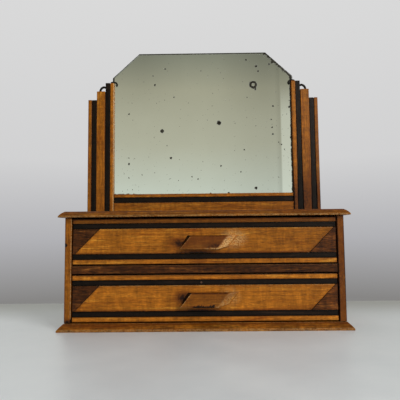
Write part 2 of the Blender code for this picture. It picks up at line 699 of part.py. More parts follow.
def build_mirror_unit(top_board):
    for side, sign in (("left", -1), ("right", 1)):
        strips = build_strips(side, sign)
        build_post_screw(side, sign, top_board, strips["middle_strip"])
        build_clip(side, sign, strips["middle_strip"])
    build_mirror_rails()
    build_glass()


clear_scene()
MATERIALS = make_finishes()
build_mirror_unit(build_case())
build_drawer("upper_drawer", RAIL_TOP)
lower_front = build_drawer("lower_drawer", BASE_THICKNESS)
build_strip_pin(lower_front, bpy.data.objects["lower_drawer_slide_line"])
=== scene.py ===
import math
import bmesh
import bpy
from mathutils import Matrix, Vector, noise


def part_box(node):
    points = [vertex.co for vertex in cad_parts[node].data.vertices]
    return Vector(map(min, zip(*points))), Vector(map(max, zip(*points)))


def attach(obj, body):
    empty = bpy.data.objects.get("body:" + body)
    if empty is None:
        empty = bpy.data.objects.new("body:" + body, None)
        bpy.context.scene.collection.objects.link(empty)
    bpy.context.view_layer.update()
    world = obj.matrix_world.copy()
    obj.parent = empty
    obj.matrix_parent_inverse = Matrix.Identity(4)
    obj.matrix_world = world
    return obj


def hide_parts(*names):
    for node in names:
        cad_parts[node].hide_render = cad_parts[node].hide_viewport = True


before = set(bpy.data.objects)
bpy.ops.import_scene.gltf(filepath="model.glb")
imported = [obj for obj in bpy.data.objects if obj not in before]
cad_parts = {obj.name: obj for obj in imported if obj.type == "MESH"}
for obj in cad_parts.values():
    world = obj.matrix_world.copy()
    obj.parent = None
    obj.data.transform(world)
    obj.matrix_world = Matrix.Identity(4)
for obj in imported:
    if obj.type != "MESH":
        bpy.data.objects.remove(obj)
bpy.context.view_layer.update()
mm = 0.001

# Camera: a little below the mirror's middle, tilted up slightly
cameraLook = {
    "place": (0.0006, -0.592, 0.1183),
    "yaw": -0.55,
    "pitch": 4.39,
    "roll": -0.57,
    "lens": 38.7,
    "sensor": 36.0,
}


def addItem(name, data):
    item = bpy.data.objects.new(name, data)
    bpy.context.scene.collection.objects.link(item)
    return item


def addCamera(look):
    data = bpy.data.cameras.new("camera")
    data.lens = look["lens"]
    data.sensor_width = look["sensor"]
    data.clip_start = 0.01
    item = addItem("camera", data)
    turn = Matrix.Rotation(math.radians(-look["yaw"]), 4, "Z")
    turn = turn @ Matrix.Rotation(math.radians(90 + look["pitch"]), 4, "X")
    turn = turn @ Matrix.Rotation(math.radians(look["roll"]), 4, "Z")
    item.matrix_world = Matrix.Translation(look["place"]) @ turn
    bpy.context.scene.camera = item


addCamera(cameraLook)
print("camera ready")


# Helpers for node trees; each works in the tree that was started last
openTree = None


def startTree(tree):
    global openTree
    openTree = tree
    return tree


def setInputs(node, inputs):
    for key, value in inputs.items():
        if isinstance(value, bpy.types.NodeSocket):
            openTree.links.new(value, node.inputs[key])
        else:
            node.inputs[key].default_value = value


def addNode(kind, inputs=None, **settings):
    node = openTree.nodes.new(kind)
    for key, value in settings.items():
        setattr(node, key, value)
    setInputs(node, inputs or {})
    return node


def calc(operation, first, second=0.0, third=0.0, clamp=False):
    inputs = {0: first, 1: second, 2: third}
    return addNode("ShaderNodeMath", inputs, operation=operation, use_clamp=clamp).outputs[0]


def plus(first, second, clamp=False):
    return calc("ADD", first, second, clamp=clamp)


def minus(first, second):
    return calc("SUBTRACT", first, second)


def times(first, second, clamp=False):
    return calc("MULTIPLY", first, second, clamp=clamp)


def over(first, second, clamp=False):
    return calc("DIVIDE", first, second, clamp=clamp)


def larger(first, second):
    return calc("MAXIMUM", first, second)


def vecCalc(operation, first, second=None, scale=None):
    inputs = {0: first, 1: second, "Scale": scale}
    inputs = {key: value for key, value in inputs.items() if value is not None}
    node = addNode("ShaderNodeVectorMath", inputs, operation=operation)
    return node.outputs["Value" if operation in ("LENGTH", "DISTANCE", "DOT_PRODUCT") else "Vector"]


def vecTimes(first, second):
    return vecCalc("MULTIPLY", first, second)


def vecMinus(first, second):
    return vecCalc("SUBTRACT", first, second)


def scaled(vector, scale):
    return vecCalc("SCALE", vector, scale=scale)


def splitXYZ(vector):
    return addNode("ShaderNodeSeparateXYZ", {0: vector}).outputs


def joinXYZ(x=0.0, y=0.0, z=0.0):
    return addNode("ShaderNodeCombineXYZ", {0: x, 1: y, 2: z}).outputs[0]


def remap(value, low, high, newLow=0.0, newHigh=1.0, smooth=False):
    way = "SMOOTHSTEP" if smooth else "LINEAR"
    inputs = {0: value, 1: low, 2: high, 3: newLow, 4: newHigh}
    return addNode("ShaderNodeMapRange", inputs, interpolation_type=way).outputs[0]


def blendColour(factor, first, second):
    inputs = {0: factor, 6: first, 7: second}
    inputs = {key: (*value, 1.0) if isinstance(value, tuple) else value for key, value in inputs.items()}
    return addNode("ShaderNodeMix", inputs, data_type="RGBA").outputs[2]


def noiseTexture(coords, *values):
    inputs = {"Vector": coords, **dict(zip(("Scale", "Detail", "Roughness", "Distortion"), values))}
    return addNode("ShaderNodeTexNoise", inputs).outputs


def grainNoise(coords, *values):
    return noiseTexture(coords, *values)[0]


def colourRamp(value, stops):
    node = addNode("ShaderNodeValToRGB", {0: value})
    ramp = node.color_ramp
    while len(ramp.elements) < len(stops):
        ramp.elements.new(0.5)
    for element, (position, colour) in zip(ramp.elements, stops):
        element.position = position
        element.color = (*colour, 1.0)
    return node.outputs[0]


def attribute(name, output="Fac"):
    return addNode("ShaderNodeAttribute", attribute_name=name, attribute_type="GEOMETRY").outputs[output]


def newFinish(name):
    # A material, its shader, and each point's place on the piece
    material = bpy.data.materials.new(name)
    material.use_nodes = True
    tree = startTree(material.node_tree)
    return material, tree.nodes["Principled BSDF"], addNode("ShaderNodeTexCoord").outputs["Object"]


def bumpNormal(strength, distance, height):
    inputs = {"Strength": strength, "Distance": distance, "Height": height}
    return addNode("ShaderNodeBump", inputs).outputs[0]


# Wood: figure, fibres, pores, blotches, rubbed arrises and grime, from the piece's own place and plank
# offset;
# the rubbed flecks also carry painted highlights, and the grime painted shade and shadow
crossStretches = {"x": (1.0, 0.4, 0.22), "y": (0.22, 1.0, 0.22), "z": (0.22, 0.4, 1.0)}
mottles = {"x": (0.35, 1.0, 1.0), "y": (1.0, 0.35, 1.0), "z": (1.0, 1.0, 0.35)}
stretches = {"x": (0.085, 1.0, 1.0), "y": (1.0, 0.085, 1.0), "z": (1.0, 1.0, 0.085)}


def woodFinish(name, along, look):
    material, shader, place = newFinish(name)
    plank = vecCalc("ADD", place, attribute("plank", "Vector"))
    grain = vecTimes(plank, stretches[along])
    figure = grainNoise(grain, look["figureScale"], 5.0, 0.60, 1.5)
    stops = [(0.28, look["dark"]), (0.45, look["mid"]), (0.56, look["mid"]), (0.72, look["light"])]
    colour = colourRamp(figure, stops)
    fibres = grainNoise(grain, look["fibreScale"], 3.0, 0.6)
    fine = grainNoise(grain, look["fibreScale"] * 2.3, 2.0, 0.5)
    blotches = grainNoise(plank, 26.0, 3.0, 0.55, 0.5)
    mottle = grainNoise(vecTimes(plank, mottles[along]), 520.0, 3.0, 0.6, 0.6)
    curl = grainNoise(vecTimes(plank, crossStretches[along]), 210.0, 2.0, 0.5, 0.8)
    tone = plus(attribute("shade"), 1.0)
    waves = {"fibre": fibres, "fine": fine, "blotch": blotches, "mottle": mottle, "curl": curl}
    for amount, wave in waves.items():
        tone = times(tone, remap(wave, 0.3, 0.7, 1 - look[amount], 1 + look[amount]))
    colour = scaled(colour, tone)
    streaks = grainNoise(vecTimes(grain, stretches[along]), look["fibreScale"] * 0.7, 3.0, 0.6)
    streaks = times(remap(streaks, 0.50, 0.66), look["streak"])
    colour = blendColour(streaks, colour, look["stainedAndShaded"])
    pores = remap(grainNoise(grain, look["poreScale"], 1.0, 0.4, 0.3), 0.60, 0.70)
    colour = blendColour(times(pores, look["pores"]), colour, look["pore"])
    # Rubbed places and painted highlights show as light flecks: worn arrises, arrises lit from one side, and
    # a highlight patch given by its place and reach
    patch = remap(vecCalc("LENGTH", attribute("patchPlace", "Vector")), 0.3, 1.0, 1.0, 0.0, smooth=True)
    patch = times(patch, attribute("patchDepth"))
    flecks = remap(grainNoise(plank, 620.0, 3.0, 0.65), 0.40, 0.58)
    rub = times(plus(attribute("arris"), patch), flecks)
    rub = times(rub, look["rub"], clamp=True)
    colour = blendColour(rub, colour, look["rubbedAndLit"])
    # Grime and painted shade are a reddish stain where thin and nearly black where thick; the stain and soil
    # marks carry painted shadow on the drawer panels and painted shade on the right side
    grimeAndShade = plus(attribute("grimeAndShade"), larger(attribute("edging"), 0.0))
    for mark in ("stain", "soil"):
        away = vecCalc("LENGTH", attribute(mark + "Place", "Vector"))
        cover = remap(away, 0.0, 1.0, 1.0, 0.0, smooth=True)
        grimeAndShade = calc("MULTIPLY_ADD", cover, attribute(mark + "Depth"), grimeAndShade)
    grimeAndShade = times(grimeAndShade, remap(grainNoise(plank, 300.0, 4.0, 0.65), 0.25, 0.6, 0.70, 1.10), clamp=True)
    deposit = colourRamp(grimeAndShade, [(0.35, look["stainedAndShaded"]), (0.80, look["grimeAndShade"])])
    colour = blendColour(remap(grimeAndShade, 0.0, 0.7), colour, deposit)
    rough = plus(remap(blotches, 0.3, 0.7, *look["rough"]), times(pores, 0.18))
    height = plus(minus(times(fibres, 0.6), pores), times(fine, 0.3))
    setInputs(shader, {
        "Base Color": colour,
        "Roughness": plus(rough, times(rub, 0.12), clamp=True),
        "Specular IOR Level": look["specular"],
        "Coat Weight": look["coat"],
        "Coat Roughness": look["coatRough"],
        "Normal": bumpNormal(look["bump"], 0.00012, height),
    })
    return material


honeyLook = {
    "dark": (0.215, 0.052, 0.0030),
    "mid": (0.370, 0.1215, 0.0088),
    "light": (0.565, 0.240, 0.0270),
    "pore": (0.055, 0.015, 0.002),
    "rubbedAndLit": (0.74, 0.46, 0.190),
    "stainedAndShaded": (0.130, 0.028, 0.0030),
    "grimeAndShade": (0.012, 0.005, 0.002),
    "figureScale": 105.0,
    "fibreScale": 640.0,
    "poreScale": 1500.0,
    "fibre": 0.26,
    "fine": 0.17,
    "blotch": 0.19,
    "mottle": 0.20,
    "curl": 0.21,
    "streak": 0.45,
    "pores": 0.50,
    "rub": 0.75,
    "rough": (0.27, 0.42),
    "specular": 0.13,
    "coat": 0.02,
    "coatRough": 0.12,
    "bump": 0.30,
}
blackLook = {
    **honeyLook,
    "dark": (0.0040, 0.0025, 0.0016),
    "mid": (0.0110, 0.0062, 0.0036),
    "light": (0.0260, 0.0130, 0.0065),
    "pore": (0.002, 0.001, 0.001),
    "rubbedAndLit": (0.075, 0.034, 0.012),
    "stainedAndShaded": (0.0040, 0.0022, 0.0014),
    "grimeAndShade": (0.0016, 0.0012, 0.0010),
    "rub": 0.30,
    "specular": 0.10,
    "fibre": 0.30,
}
boardWoodLook = {
    **honeyLook,
    "fibre": 0.50,
    "fine": 0.40,
    "blotch": 0.30,
    "mottle": 0.38,
    "curl": 0.22,
    "streak": 0.80,
    "figureScale": 150.0,
    "specular": 0.08,
    "coat": 0.0,
}
walnutLook = {
    **honeyLook,
    "dark": (0.030, 0.0075, 0.0013),
    "mid": (0.068, 0.0195, 0.0030),
    "light": (0.200, 0.0700, 0.0120),
    "pore": (0.010, 0.004, 0.002),
    "rubbedAndLit": (0.30, 0.150, 0.055),
    "stainedAndShaded": (0.028, 0.0080, 0.0020),
    "grimeAndShade": (0.008, 0.004, 0.002),
    "fibre": 0.62,
    "fine": 0.60,
    "blotch": 0.30,
    "mottle": 0.38,
    "curl": 0.26,
    "streak": 0.55,
    "figureScale": 150.0,
}
bareLook = {
    **honeyLook,
    "dark": (0.270, 0.145, 0.060),
    "mid": (0.400, 0.240, 0.110),
    "light": (0.500, 0.325, 0.165),
    "pore": (0.150, 0.080, 0.035),
    "rubbedAndLit": (0.34, 0.20, 0.10),
    "stainedAndShaded": (0.190, 0.105, 0.050),
    "grimeAndShade": (0.060, 0.034, 0.018),
    "rough": (0.55, 0.72),
    "specular": 0.3,
    "coat": 0.0,
    "fibre": 0.12,
    "fine": 0.12,
    "mottle": 0.08,
    "curl": 0.03,
    "streak": 0.30,
    "blotch": 0.14,
}
plyLook = {
    **bareLook,
    "dark": (0.215, 0.115, 0.050),
    "mid": (0.310, 0.180, 0.082),
    "light": (0.400, 0.245, 0.120),
    "figureScale": 60.0,
    "rough": (0.60, 0.78),
}
woods = {
    "honey": (honeyLook, "xz"),
    "board": (boardWoodLook, "x"),
    "black": (blackLook, "xz"),
    "walnut": (walnutLook, "x"),
    "bare": (bareLook, "xy"),
    "ply": (plyLook, "xz"),
}
finishes = {}
for wood, (look, directions) in woods.items():
    for along in directions:
        finishes[wood + along.upper()] = woodFinish(wood + "Along" + along.upper(), along, look)
print("wood finishes ready")


# Trees that grow pieces, and the steps they share
def newTree(name, sockets):
    tree = startTree(bpy.data.node_groups.new(name, "GeometryNodeTree"))
    tree.interface.new_socket("Geometry", in_out="OUTPUT", socket_type="NodeSocketGeometry")
    for kind, names in sockets.items():
        for socketName in names.split(", "):
            tree.interface.new_socket(socketName, in_out="INPUT", socket_type="NodeSocket" + kind)
    entry = addNode("NodeGroupInput")
    return tree, {socket.name: socket for socket in entry.outputs if socket.name}


def storeAttribute(geometry, name, value, kind="FLOAT"):
    inputs = {"Geometry": geometry, "Name": name, "Value": value}
    return addNode("GeometryNodeStoreNamedAttribute", inputs, data_type=kind, domain="POINT").outputs[0]


def boxCutter(size, middle, turn=0.0):
    cube = addNode("GeometryNodeMeshCube", {"Size": size}).outputs["Mesh"]
    inputs = {"Geometry": cube, "Translation": middle, "Rotation": (0.0, 0.0, turn)}
    return addNode("GeometryNodeTransform", inputs).outputs[0]


def cutAway(body, cutter):
    inputs = {"Mesh 1": body, "Mesh 2": cutter}
    return addNode("GeometryNodeMeshBoolean", inputs, operation="DIFFERENCE", solver="EXACT").outputs["Mesh"]


def sweep(curve, profile, girth):
    inputs = {"Curve": curve, "Profile Curve": profile, "Scale": girth, "Fill Caps": True}
    return addNode("GeometryNodeCurveToMesh", inputs).outputs[0]


def closeTree(geometry, material):
    realized = addNode("GeometryNodeRealizeInstances", {"Geometry": geometry}).outputs[0]
    inputs = {"Geometry": realized, "Material": material}
    addNode("NodeGroupOutput", {0: addNode("GeometryNodeSetMaterial", inputs).outputs[0]})


# Band stock: one squared, rounded and slightly worn length of wood between two corners
def makeStockTree():
    tree, given = newTree("bandStock", {
        "Vector": "Low, High, Plank, Stain, Stain Reach, Soil, Soil Reach, Patch, Patch Reach, Rub Side, "
        "Border Depth, Groove Low, Groove High",
        "Int": "Steps X, Steps Y, Steps Z",
        "Float": "Arris, Wear, Unevenness, Lean, Taper, Seed, Shade, Shade Slope, Stain Depth, Soil Depth, "
        "Patch Depth, Rub, Border",
        "Bool": "Grooved",
        "Material": "Finish",
    })
    one = (1.0, 1.0, 1.0)
    size = vecMinus(given["High"], given["Low"])
    centre = scaled(vecCalc("ADD", given["High"], given["Low"]), 0.5)
    half = scaled(size, 0.5)
    steps = [given["Steps " + axis] for axis in "XYZ"]
    inputs = {"Size": size, **{"Vertices " + axis: count for axis, count in zip("XYZ", steps)}}
    cube = addNode("GeometryNodeMeshCube", inputs)
    spans = vecMinus(joinXYZ(*steps), one)
    share = vecCalc("DIVIDE", (6.0, 6.0, 6.0), spans)           # three steps at each end shape the arris
    inner = vecMinus(one, share)
    along = vecCalc("DIVIDE", addNode("GeometryNodeInputPosition").outputs[0], half)
    away = vecCalc("ABSOLUTE", along)
    side = vecCalc("SIGN", along)
    arris = joinXYZ(given["Arris"], given["Arris"], given["Arris"])
    margin = scaled(arris, 0.6)
    flat = vecMinus(half, arris)
    core = vecMinus(flat, margin)
    reach = vecTimes(vecCalc("MINIMUM", vecCalc("DIVIDE", away, inner), one), core)
    spare = scaled(vecCalc("DIVIDE", vecMinus(away, inner), share), 3.0)
    spare = vecCalc("MAXIMUM", spare, (0.0, 0.0, 0.0))
    first = vecTimes(vecCalc("MINIMUM", spare, one), margin)
    rest = vecCalc("MAXIMUM", vecMinus(spare, one), (0.0, 0.0, 0.0))
    rest = vecTimes(scaled(rest, 0.5), arris)
    place = vecCalc("ADD", vecCalc("ADD", reach, first), rest)
    kept = vecCalc("MINIMUM", place, flat)
    corner = vecMinus(place, kept)
    length = vecCalc("LENGTH", corner)
    outwards = scaled(corner, over(1.0, larger(length, 1e-7)))
    total = vecCalc("DOT_PRODUCT", outwards, one)
    edge = over(minus(total, 1.0), 0.41, clamp=True)
    turned = vecCalc("ADD", kept, vecTimes(outwards, arris))
    turned = vecTimes(turned, side)
    outwards = vecTimes(outwards, side)
    shift = scaled((0.173, 0.091, 0.257), given["Seed"])
    seeded = vecCalc("ADD", turned, shift)
    knocks = remap(grainNoise(seeded, 170.0, 3.0, 0.6), 0.42, 0.72)
    knocks = times(times(knocks, edge), given["Wear"])
    hollows = times(grainNoise(seeded, 22.0, 1.0), given["Unevenness"])
    sunk = scaled(outwards, plus(knocks, hollows))
    worn = vecMinus(turned, sunk)
    parts, halfParts, turnedParts = splitXYZ(worn), splitXYZ(half), splitXYZ(turned)
    level = over(parts[2], halfParts[2])
    leant = times(parts[0], calc("MULTIPLY_ADD", level, given["Taper"], 1.0))
    leant = calc("MULTIPLY_ADD", parts[2], given["Lean"], leant)
    final = joinXYZ(leant, parts[1], parts[2])
    final = vecCalc("ADD", final, centre)
    # Arrises are stored as shares of wear plus a painted highlight on the lit side; borders as shares of
    # dirt and painted shade; stain, soil and patch as places and depths, which the finish turns into marks
    facing = plus(vecCalc("DOT_PRODUCT", outwards, given["Rub Side"]), given["Rub"])
    facing = calc("MINIMUM", larger(facing, 0.0), 4.0)
    body = storeAttribute(cube.outputs["Mesh"], "arris", times(edge, facing))
    depths = splitXYZ(given["Border Depth"])
    endRoom = minus(halfParts[0], calc("ABSOLUTE", turnedParts[0]))
    footRoom = plus(halfParts[2], turnedParts[2])
    headRoom = minus(halfParts[2], turnedParts[2])
    edging = None
    for room, depth in zip((endRoom, footRoom, headRoom), depths):
        value = minus(1.0, over(room, given["Border"]))
        value = times(value, depth)
        edging = value if edging is None else larger(edging, value)
    body = storeAttribute(body, "edging", edging)
    for name in ("Stain", "Soil", "Patch"):
        reached = vecCalc("DIVIDE", vecMinus(final, given[name]), given[name + " Reach"])
        body = storeAttribute(body, name.lower() + "Place", reached, "FLOAT_VECTOR")
        body = storeAttribute(body, name.lower() + "Depth", given[name + " Depth"])
    body = storeAttribute(body, "plank", given["Plank"], "FLOAT_VECTOR")
    across = splitXYZ(final)[0]
    shade = calc("MULTIPLY_ADD", across, given["Shade Slope"], given["Shade"])
    body = storeAttribute(body, "shade", shade)
    body = addNode("GeometryNodeSetPosition", {"Geometry": body, "Position": final}).outputs[0]
    groove = vecMinus(given["Groove High"], given["Groove Low"])
    grooveMiddle = scaled(vecCalc("ADD", given["Groove High"], given["Groove Low"]), 0.5)
    grooved = cutAway(body, boxCutter(groove, grooveMiddle))
    inputs = {"Switch": given["Grooved"], "False": body, "True": grooved}
    closeTree(addNode("GeometryNodeSwitch", inputs, input_type="GEOMETRY").outputs[0], given["Finish"])
    return tree


def smoothItem(name, mesh, sharp):
    mesh.shade_smooth()
    mesh.set_sharp_from_angle(angle=math.radians(sharp))
    return addItem(name, mesh)


def runTree(name, tree, values, source=None):
    # Grows a plain mesh object from a tree, with nothing live left on it
    data = source or bpy.data.meshes.new(name + "Seed")
    seedItem = addItem(name + "Seed", data)
    modifier = seedItem.modifiers.new("tree", "NODES")
    modifier.node_group = tree
    for socket in tree.interface.items_tree:
        if socket.in_out == "INPUT" and socket.name in values:
            modifier[socket.identifier] = values[socket.name]
    evaluated = seedItem.evaluated_get(bpy.context.evaluated_depsgraph_get())
    mesh = bpy.data.meshes.new_from_object(evaluated)
    mesh.name = name
    bpy.data.objects.remove(seedItem)
    return smoothItem(name, mesh, 42)


stockTree = makeStockTree()
stockCount = 0


stockGrid = 4.0 * mm
stockUnevenness = 0.06 * mm
stockLook = {
    "arris": 0.5, "wear": 0.25, "border": 1.3, "lean": 0.0, "taper": 0.0, "shade": 0.0, "shadeSlope": 0.0,
    "rub": 0.3, "rubSide": (0, 0, 0), "dirt": (0.45, 0.5, 0.45),
    "grooveLow": (0, 0, 0), "grooveHigh": (0.001, 0.001, 0.001),
}
noMark = ((9000, 9000, 9000), (10, 10, 10), 0.0)


def dress(item, body, slot, *replaced):
    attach(item, body)
    if replaced:
        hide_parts(*replaced)


def layStock(node, finish, slot, body="case", **chosen):
    # Replaces a squared CAD piece by a rounded and worn one of the same size
    global stockCount
    stockCount += 1
    low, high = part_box(node)
    look = {**stockLook, "low": low, "high": high, **chosen}
    low, high = Vector(look["low"]), Vector(look["high"])
    values = {
        "Low": low,
        "High": high,
        "Arris": look["arris"] * mm,
        "Wear": look["wear"] * mm,
        "Unevenness": stockUnevenness,
        "Lean": look["lean"],
        "Taper": look["taper"],
        "Seed": float(stockCount),
        "Plank": Vector([(stockCount * share) % 1.0 for share in (0.377, 0.213, 0.611)]),
        "Shade": look["shade"],
        "Shade Slope": look["shadeSlope"],
        "Rub": look["rub"],
        "Rub Side": Vector(look["rubSide"]),
        "Border": look["border"] * mm,
        "Border Depth": Vector(look["dirt"]),
        "Groove Low": Vector(look["grooveLow"]),
        "Groove High": Vector(look["grooveHigh"]),
        "Grooved": "grooveLow" in chosen,
        "Finish": finishes[finish],
    }
    for axis, span in zip("XYZ", high - low):
        values["Steps " + axis] = 8 + min(int(span / stockGrid), 150)
    for title in ("Stain", "Soil", "Patch"):
        middle, reach, depth = look.get(title.lower(), noMark)
        values[title] = Vector(middle) * mm
        values[title + " Reach"] = Vector(reach) * mm
        values[title + " Depth"] = depth
    dress(runTree(node + "_wood", stockTree, values), body, slot, node)


# Drawer fronts: light and black bands round a leaning panel with dark corners
frontLook = {
    "upper_drawer": {
        "lower_light_band": {"shade": 0.02, "stain": ((-8, -56, 83.5), (21, 9, 6), 0.40)},
        "lower_black_band": {},
        # Painted shadow left of and under the pull (stain and soil marks), and a painted highlight right of
        # it (patch)
        "panel": {
            "shade": -0.05, "shadeSlope": -1.35, "patch": ((36, -56, 111), (22, 9, 15), 0.75),
            "stain": ((-31, -56, 106), (23, 9, 13), 0.74), "soil": ((-8, -56, 96), (36, 9, 6.5), 0.50),
        },
        "upper_black_band": {},
        # Painted shadow: this band is darker overall and most at its head, standing for the top board's
        # overhang shadow
        "upper_light_band": {"shade": -0.44, "dirt": (0.5, 0.3, 0.85), "border": 3.0},
        "left_corner": {"shade": 0.04},
        "right_corner": {"shade": 0.25},
    },
    "lower_drawer": {
        "lower_light_band": {"shade": 0.14},
        "lower_black_band": {},
        # Painted shadow left of and under the pull (stain and soil marks), and a painted highlight right of
        # it (patch)
        "panel": {
            "shade": 0.09, "shadeSlope": -0.4, "patch": ((31, -56, 40), (17, 9, 15), 0.36),
            "stain": ((-26, -56, 39), (20, 9, 15), 0.78), "soil": ((-4, -56, 25.5), (36, 9, 6), 0.36),
        },
        "upper_black_band": {},
        "upper_light_band": {"shade": 0.15},
        "left_corner": {"shade": 0.0},
        "right_corner": {"shade": 0.58},
    },
}
for drawer, pieces in frontLook.items():
    for piece, look in pieces.items():
        node = f"{drawer}_{piece}"
        low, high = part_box(node)
        if "light" in piece:
            layStock(node, "honeyX", "honey_wood", drawer, **look)
        elif "black" in piece:
            layStock(node, "blackX", "black_wood", drawer, border=2.6, dirt=(0.6, 0.6, 0.6), **look)
        elif piece == "panel":
            wide = high.x - low.x - (high.z - low.z)
            # Panels: the top arris is lightened as a painted highlight, and the foot darkened as painted
            # shade above the black band
            layStock(
                node, "honeyX", "honey_wood", drawer, lean=1.0, border=3.2, dirt=(0.30, 0.62, 0.22), rub=0.0,
                rubSide=(0, -0.5, 1.3), low=(-wide / 2, low.y, low.z), high=(wide / 2, high.y, high.z),
                **look,
            )
        else:
            # A corner narrows from its full width to a blunt end
            sign = -1 if "left" in piece else 1
            outer = low.x if sign < 0 else high.x
            blunt, full = 2 * mm, high.x - low.x
            middle, slant = (blunt + full) / 2, (full - blunt) / 2
            nearX, farX = sorted((outer, outer - sign * middle))
            layStock(
                node, "walnutX", "walnut", drawer, arris=0.35, lean=slant / (high.z - low.z),
                taper=-sign * slant / middle, low=(nearX, low.y, low.z), high=(farX, high.y, high.z), **look,
            )
print("drawer bands and panels ready")

# Case sides, strips beside the mirror and rails below it
glassY = (39.2 * mm, 47.1 * mm)
stripLook = {
    "left": {
        # Left side panel: the arris facing right is lightened as a painted highlight from light on the right
        "side_panel": {
            "shade": -0.22, "arris": 1.0, "rub": 0.0, "rubSide": (2.2, -0.2, 0),
            "stain": ((-171.6, -58, 104.6), (3.4, 4, 3.6), 1.5), "soil": ((-168, -58, 11), (9, 9, 7), 0.8),
        },
        "outer_light_strip": {"shade": -0.19},
        "middle_strip": {"shade": -0.10},
        # Left inner strip: the glass-side arris and the patch along its inner face are painted light, the lit
        # face and its reflection
        "inner_light_strip": {
            "shade": 0.02, "arris": 1.5, "rub": 0.0, "rubSide": (4.5, -0.2, 0),
            "patch": ((-129.6, 30, 260), (3.3, 20, 400), 7.0),
        },
    },
    "right": {
        # Right side panel: its darker tone and the mark on its front edge are painted shade
        "side_panel": {"shade": -0.38, "rub": 0.15, "stain": ((169, -61, 75), (30, 12, 150), 0.62)},
        # The soil marks at the feet of the right strips are painted shade
        "outer_light_strip": {"shade": -0.34, "soil": ((162, 35, 168), (30, 60, 62), 0.50)},
        "middle_strip": {"shade": -0.22, "soil": ((149, 35, 168), (30, 60, 66), 0.62)},
        "inner_light_strip": {"shade": -0.07, "soil": ((133, 35, 168), (30, 60, 62), 0.60)},
    },
}
for side, pieces in stripLook.items():
    for piece, look in pieces.items():
        node = f"{side}_{piece}"
        low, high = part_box(node)
        if piece == "inner_light_strip":
            near, far = (130 * mm, 135.5 * mm) if side == "right" else (-135.5 * mm, -130 * mm)
            look["grooveLow"] = (near, glassY[0], low.z - mm)
            look["grooveHigh"] = (far, glassY[1], high.z + mm)
        layStock(node, "honeyZ", "honey_wood", **look)
    layStock(side + "_outer_black_strip", "blackZ", "black_wood")
    layStock(side + "_inner_black_strip", "blackZ", "black_wood")
    layStock(side + "_runner", "bareY", "drawer_wood", rub=0.8)
# The divider rail's up-facing arris is lightened as a painted highlight
layStock("divider_rail", "walnutX", "walnut", shade=-0.10, arris=0.6, rub=0.0, rubSide=(0, -0.6, 2.2))
layStock("mirror_broad_rail", "honeyX", "honey_wood", shade=-0.11)
layStock("mirror_black_rail", "blackX", "black_wood")
low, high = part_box("mirror_ledge")
layStock(
    "mirror_ledge", "honeyX", "honey_wood", shade=0.04, grooveLow=(low.x - mm, glassY[0], 173.5 * mm),
    grooveHigh=(high.x + mm, glassY[1], high.z + mm),
)
print("strips and rails ready")


# Drawer boxes: grooved sides, backs and thin bottoms; the case's thin back
def sideGroove(node, bottom):
    low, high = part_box(node)
    bottomLow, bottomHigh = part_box(bottom)
    inner = low.x if abs(low.x) < abs(high.x) else high.x
    away = math.copysign(2.5 * mm, inner)
    nearX, farX = sorted((inner - away, inner + away))
    return {
        "grooveLow": (nearX, low.y - mm, bottomLow.z - 0.3 * mm),
        "grooveHigh": (farX, high.y + mm, bottomHigh.z + 0.3 * mm),
    }


boxLook = {"arris": 0.4, "dirt": (0.3, 0.3, 0.3)}
for drawer in ("upper_drawer", "lower_drawer"):
    for side in ("left", "right"):
        node = f"{drawer}_{side}_side"
        layStock(node, "bareY", "drawer_wood", drawer, **boxLook, **sideGroove(node, drawer + "_bottom"))
    layStock(drawer + "_back", "bareX", "drawer_wood", drawer, **boxLook)
    layStock(drawer + "_bottom", "plyX", "plywood", drawer, arris=0.15, wear=0.1, dirt=(0.2, 0.2, 0.2))
    low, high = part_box(drawer + "_core")
    bottomLow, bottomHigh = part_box(drawer + "_bottom")
    layStock(
        drawer + "_core", "bareX", "drawer_wood", drawer, arris=0.3, dirt=(0.3, 0.3, 0.3),
        grooveLow=(low.x - mm, high.y - 2.5 * mm, bottomLow.z - 0.3 * mm),
        grooveHigh=(high.x + mm, high.y + mm, bottomHigh.z + 0.3 * mm),
    )
layStock("back_panel", "plyX", "plywood", arris=0.2, wear=0.15, dirt=(0.35, 0.45, 0.35), border=7.0)
print("drawer boxes and back ready")


# Plain meshes built point by point, with the same attributes as the stock
def tagMesh(mesh, plank=(0.3, 0.7, 0.1), shade=0.0, arris=None, grimeAndShade=None):
    count = len(mesh.vertices)
    layer = mesh.attributes.new("plank", "FLOAT_VECTOR", "POINT")
    layer.data.foreach_set("vector", list(plank) * count)
    for name, values in (("shade", shade), ("arris", arris), ("grimeAndShade", grimeAndShade)):
        if values is None:
            continue
        layer = mesh.attributes.new(name, "FLOAT", "POINT")
        layer.data.foreach_set("value", [values] * count if isinstance(values, float) else values)


def meshItem(name, points, faces, materials, sharp=42):
    mesh = bpy.data.meshes.new(name)
    mesh.from_pydata(points, [], faces)
    for material in materials:
        mesh.materials.append(material)
    shape = bmesh.new()
    shape.from_mesh(mesh)
    bmesh.ops.recalc_face_normals(shape, faces=shape.faces)
    shape.to_mesh(mesh)
    shape.free()
    return smoothItem(name, mesh, sharp)


def smoothStep(value, low=0.0, high=1.0):
    share = min(max((value - low) / (high - low), 0.0), 1.0)
    return share * share * (3 - 2 * share)


# Base and top boards: a swelling bevel on the front and both ends, a square back
boardLook = {
    "base_board": {"edge": 2.2, "crown": 0.35, "nose": 0.35, "shade": -0.43, "nicks": 0.45},
    "top_board": {"edge": 1.4, "crown": 0.80, "nose": 0.45, "shade": -0.51, "nicks": 0.40},
}
bevelRun = 6.8


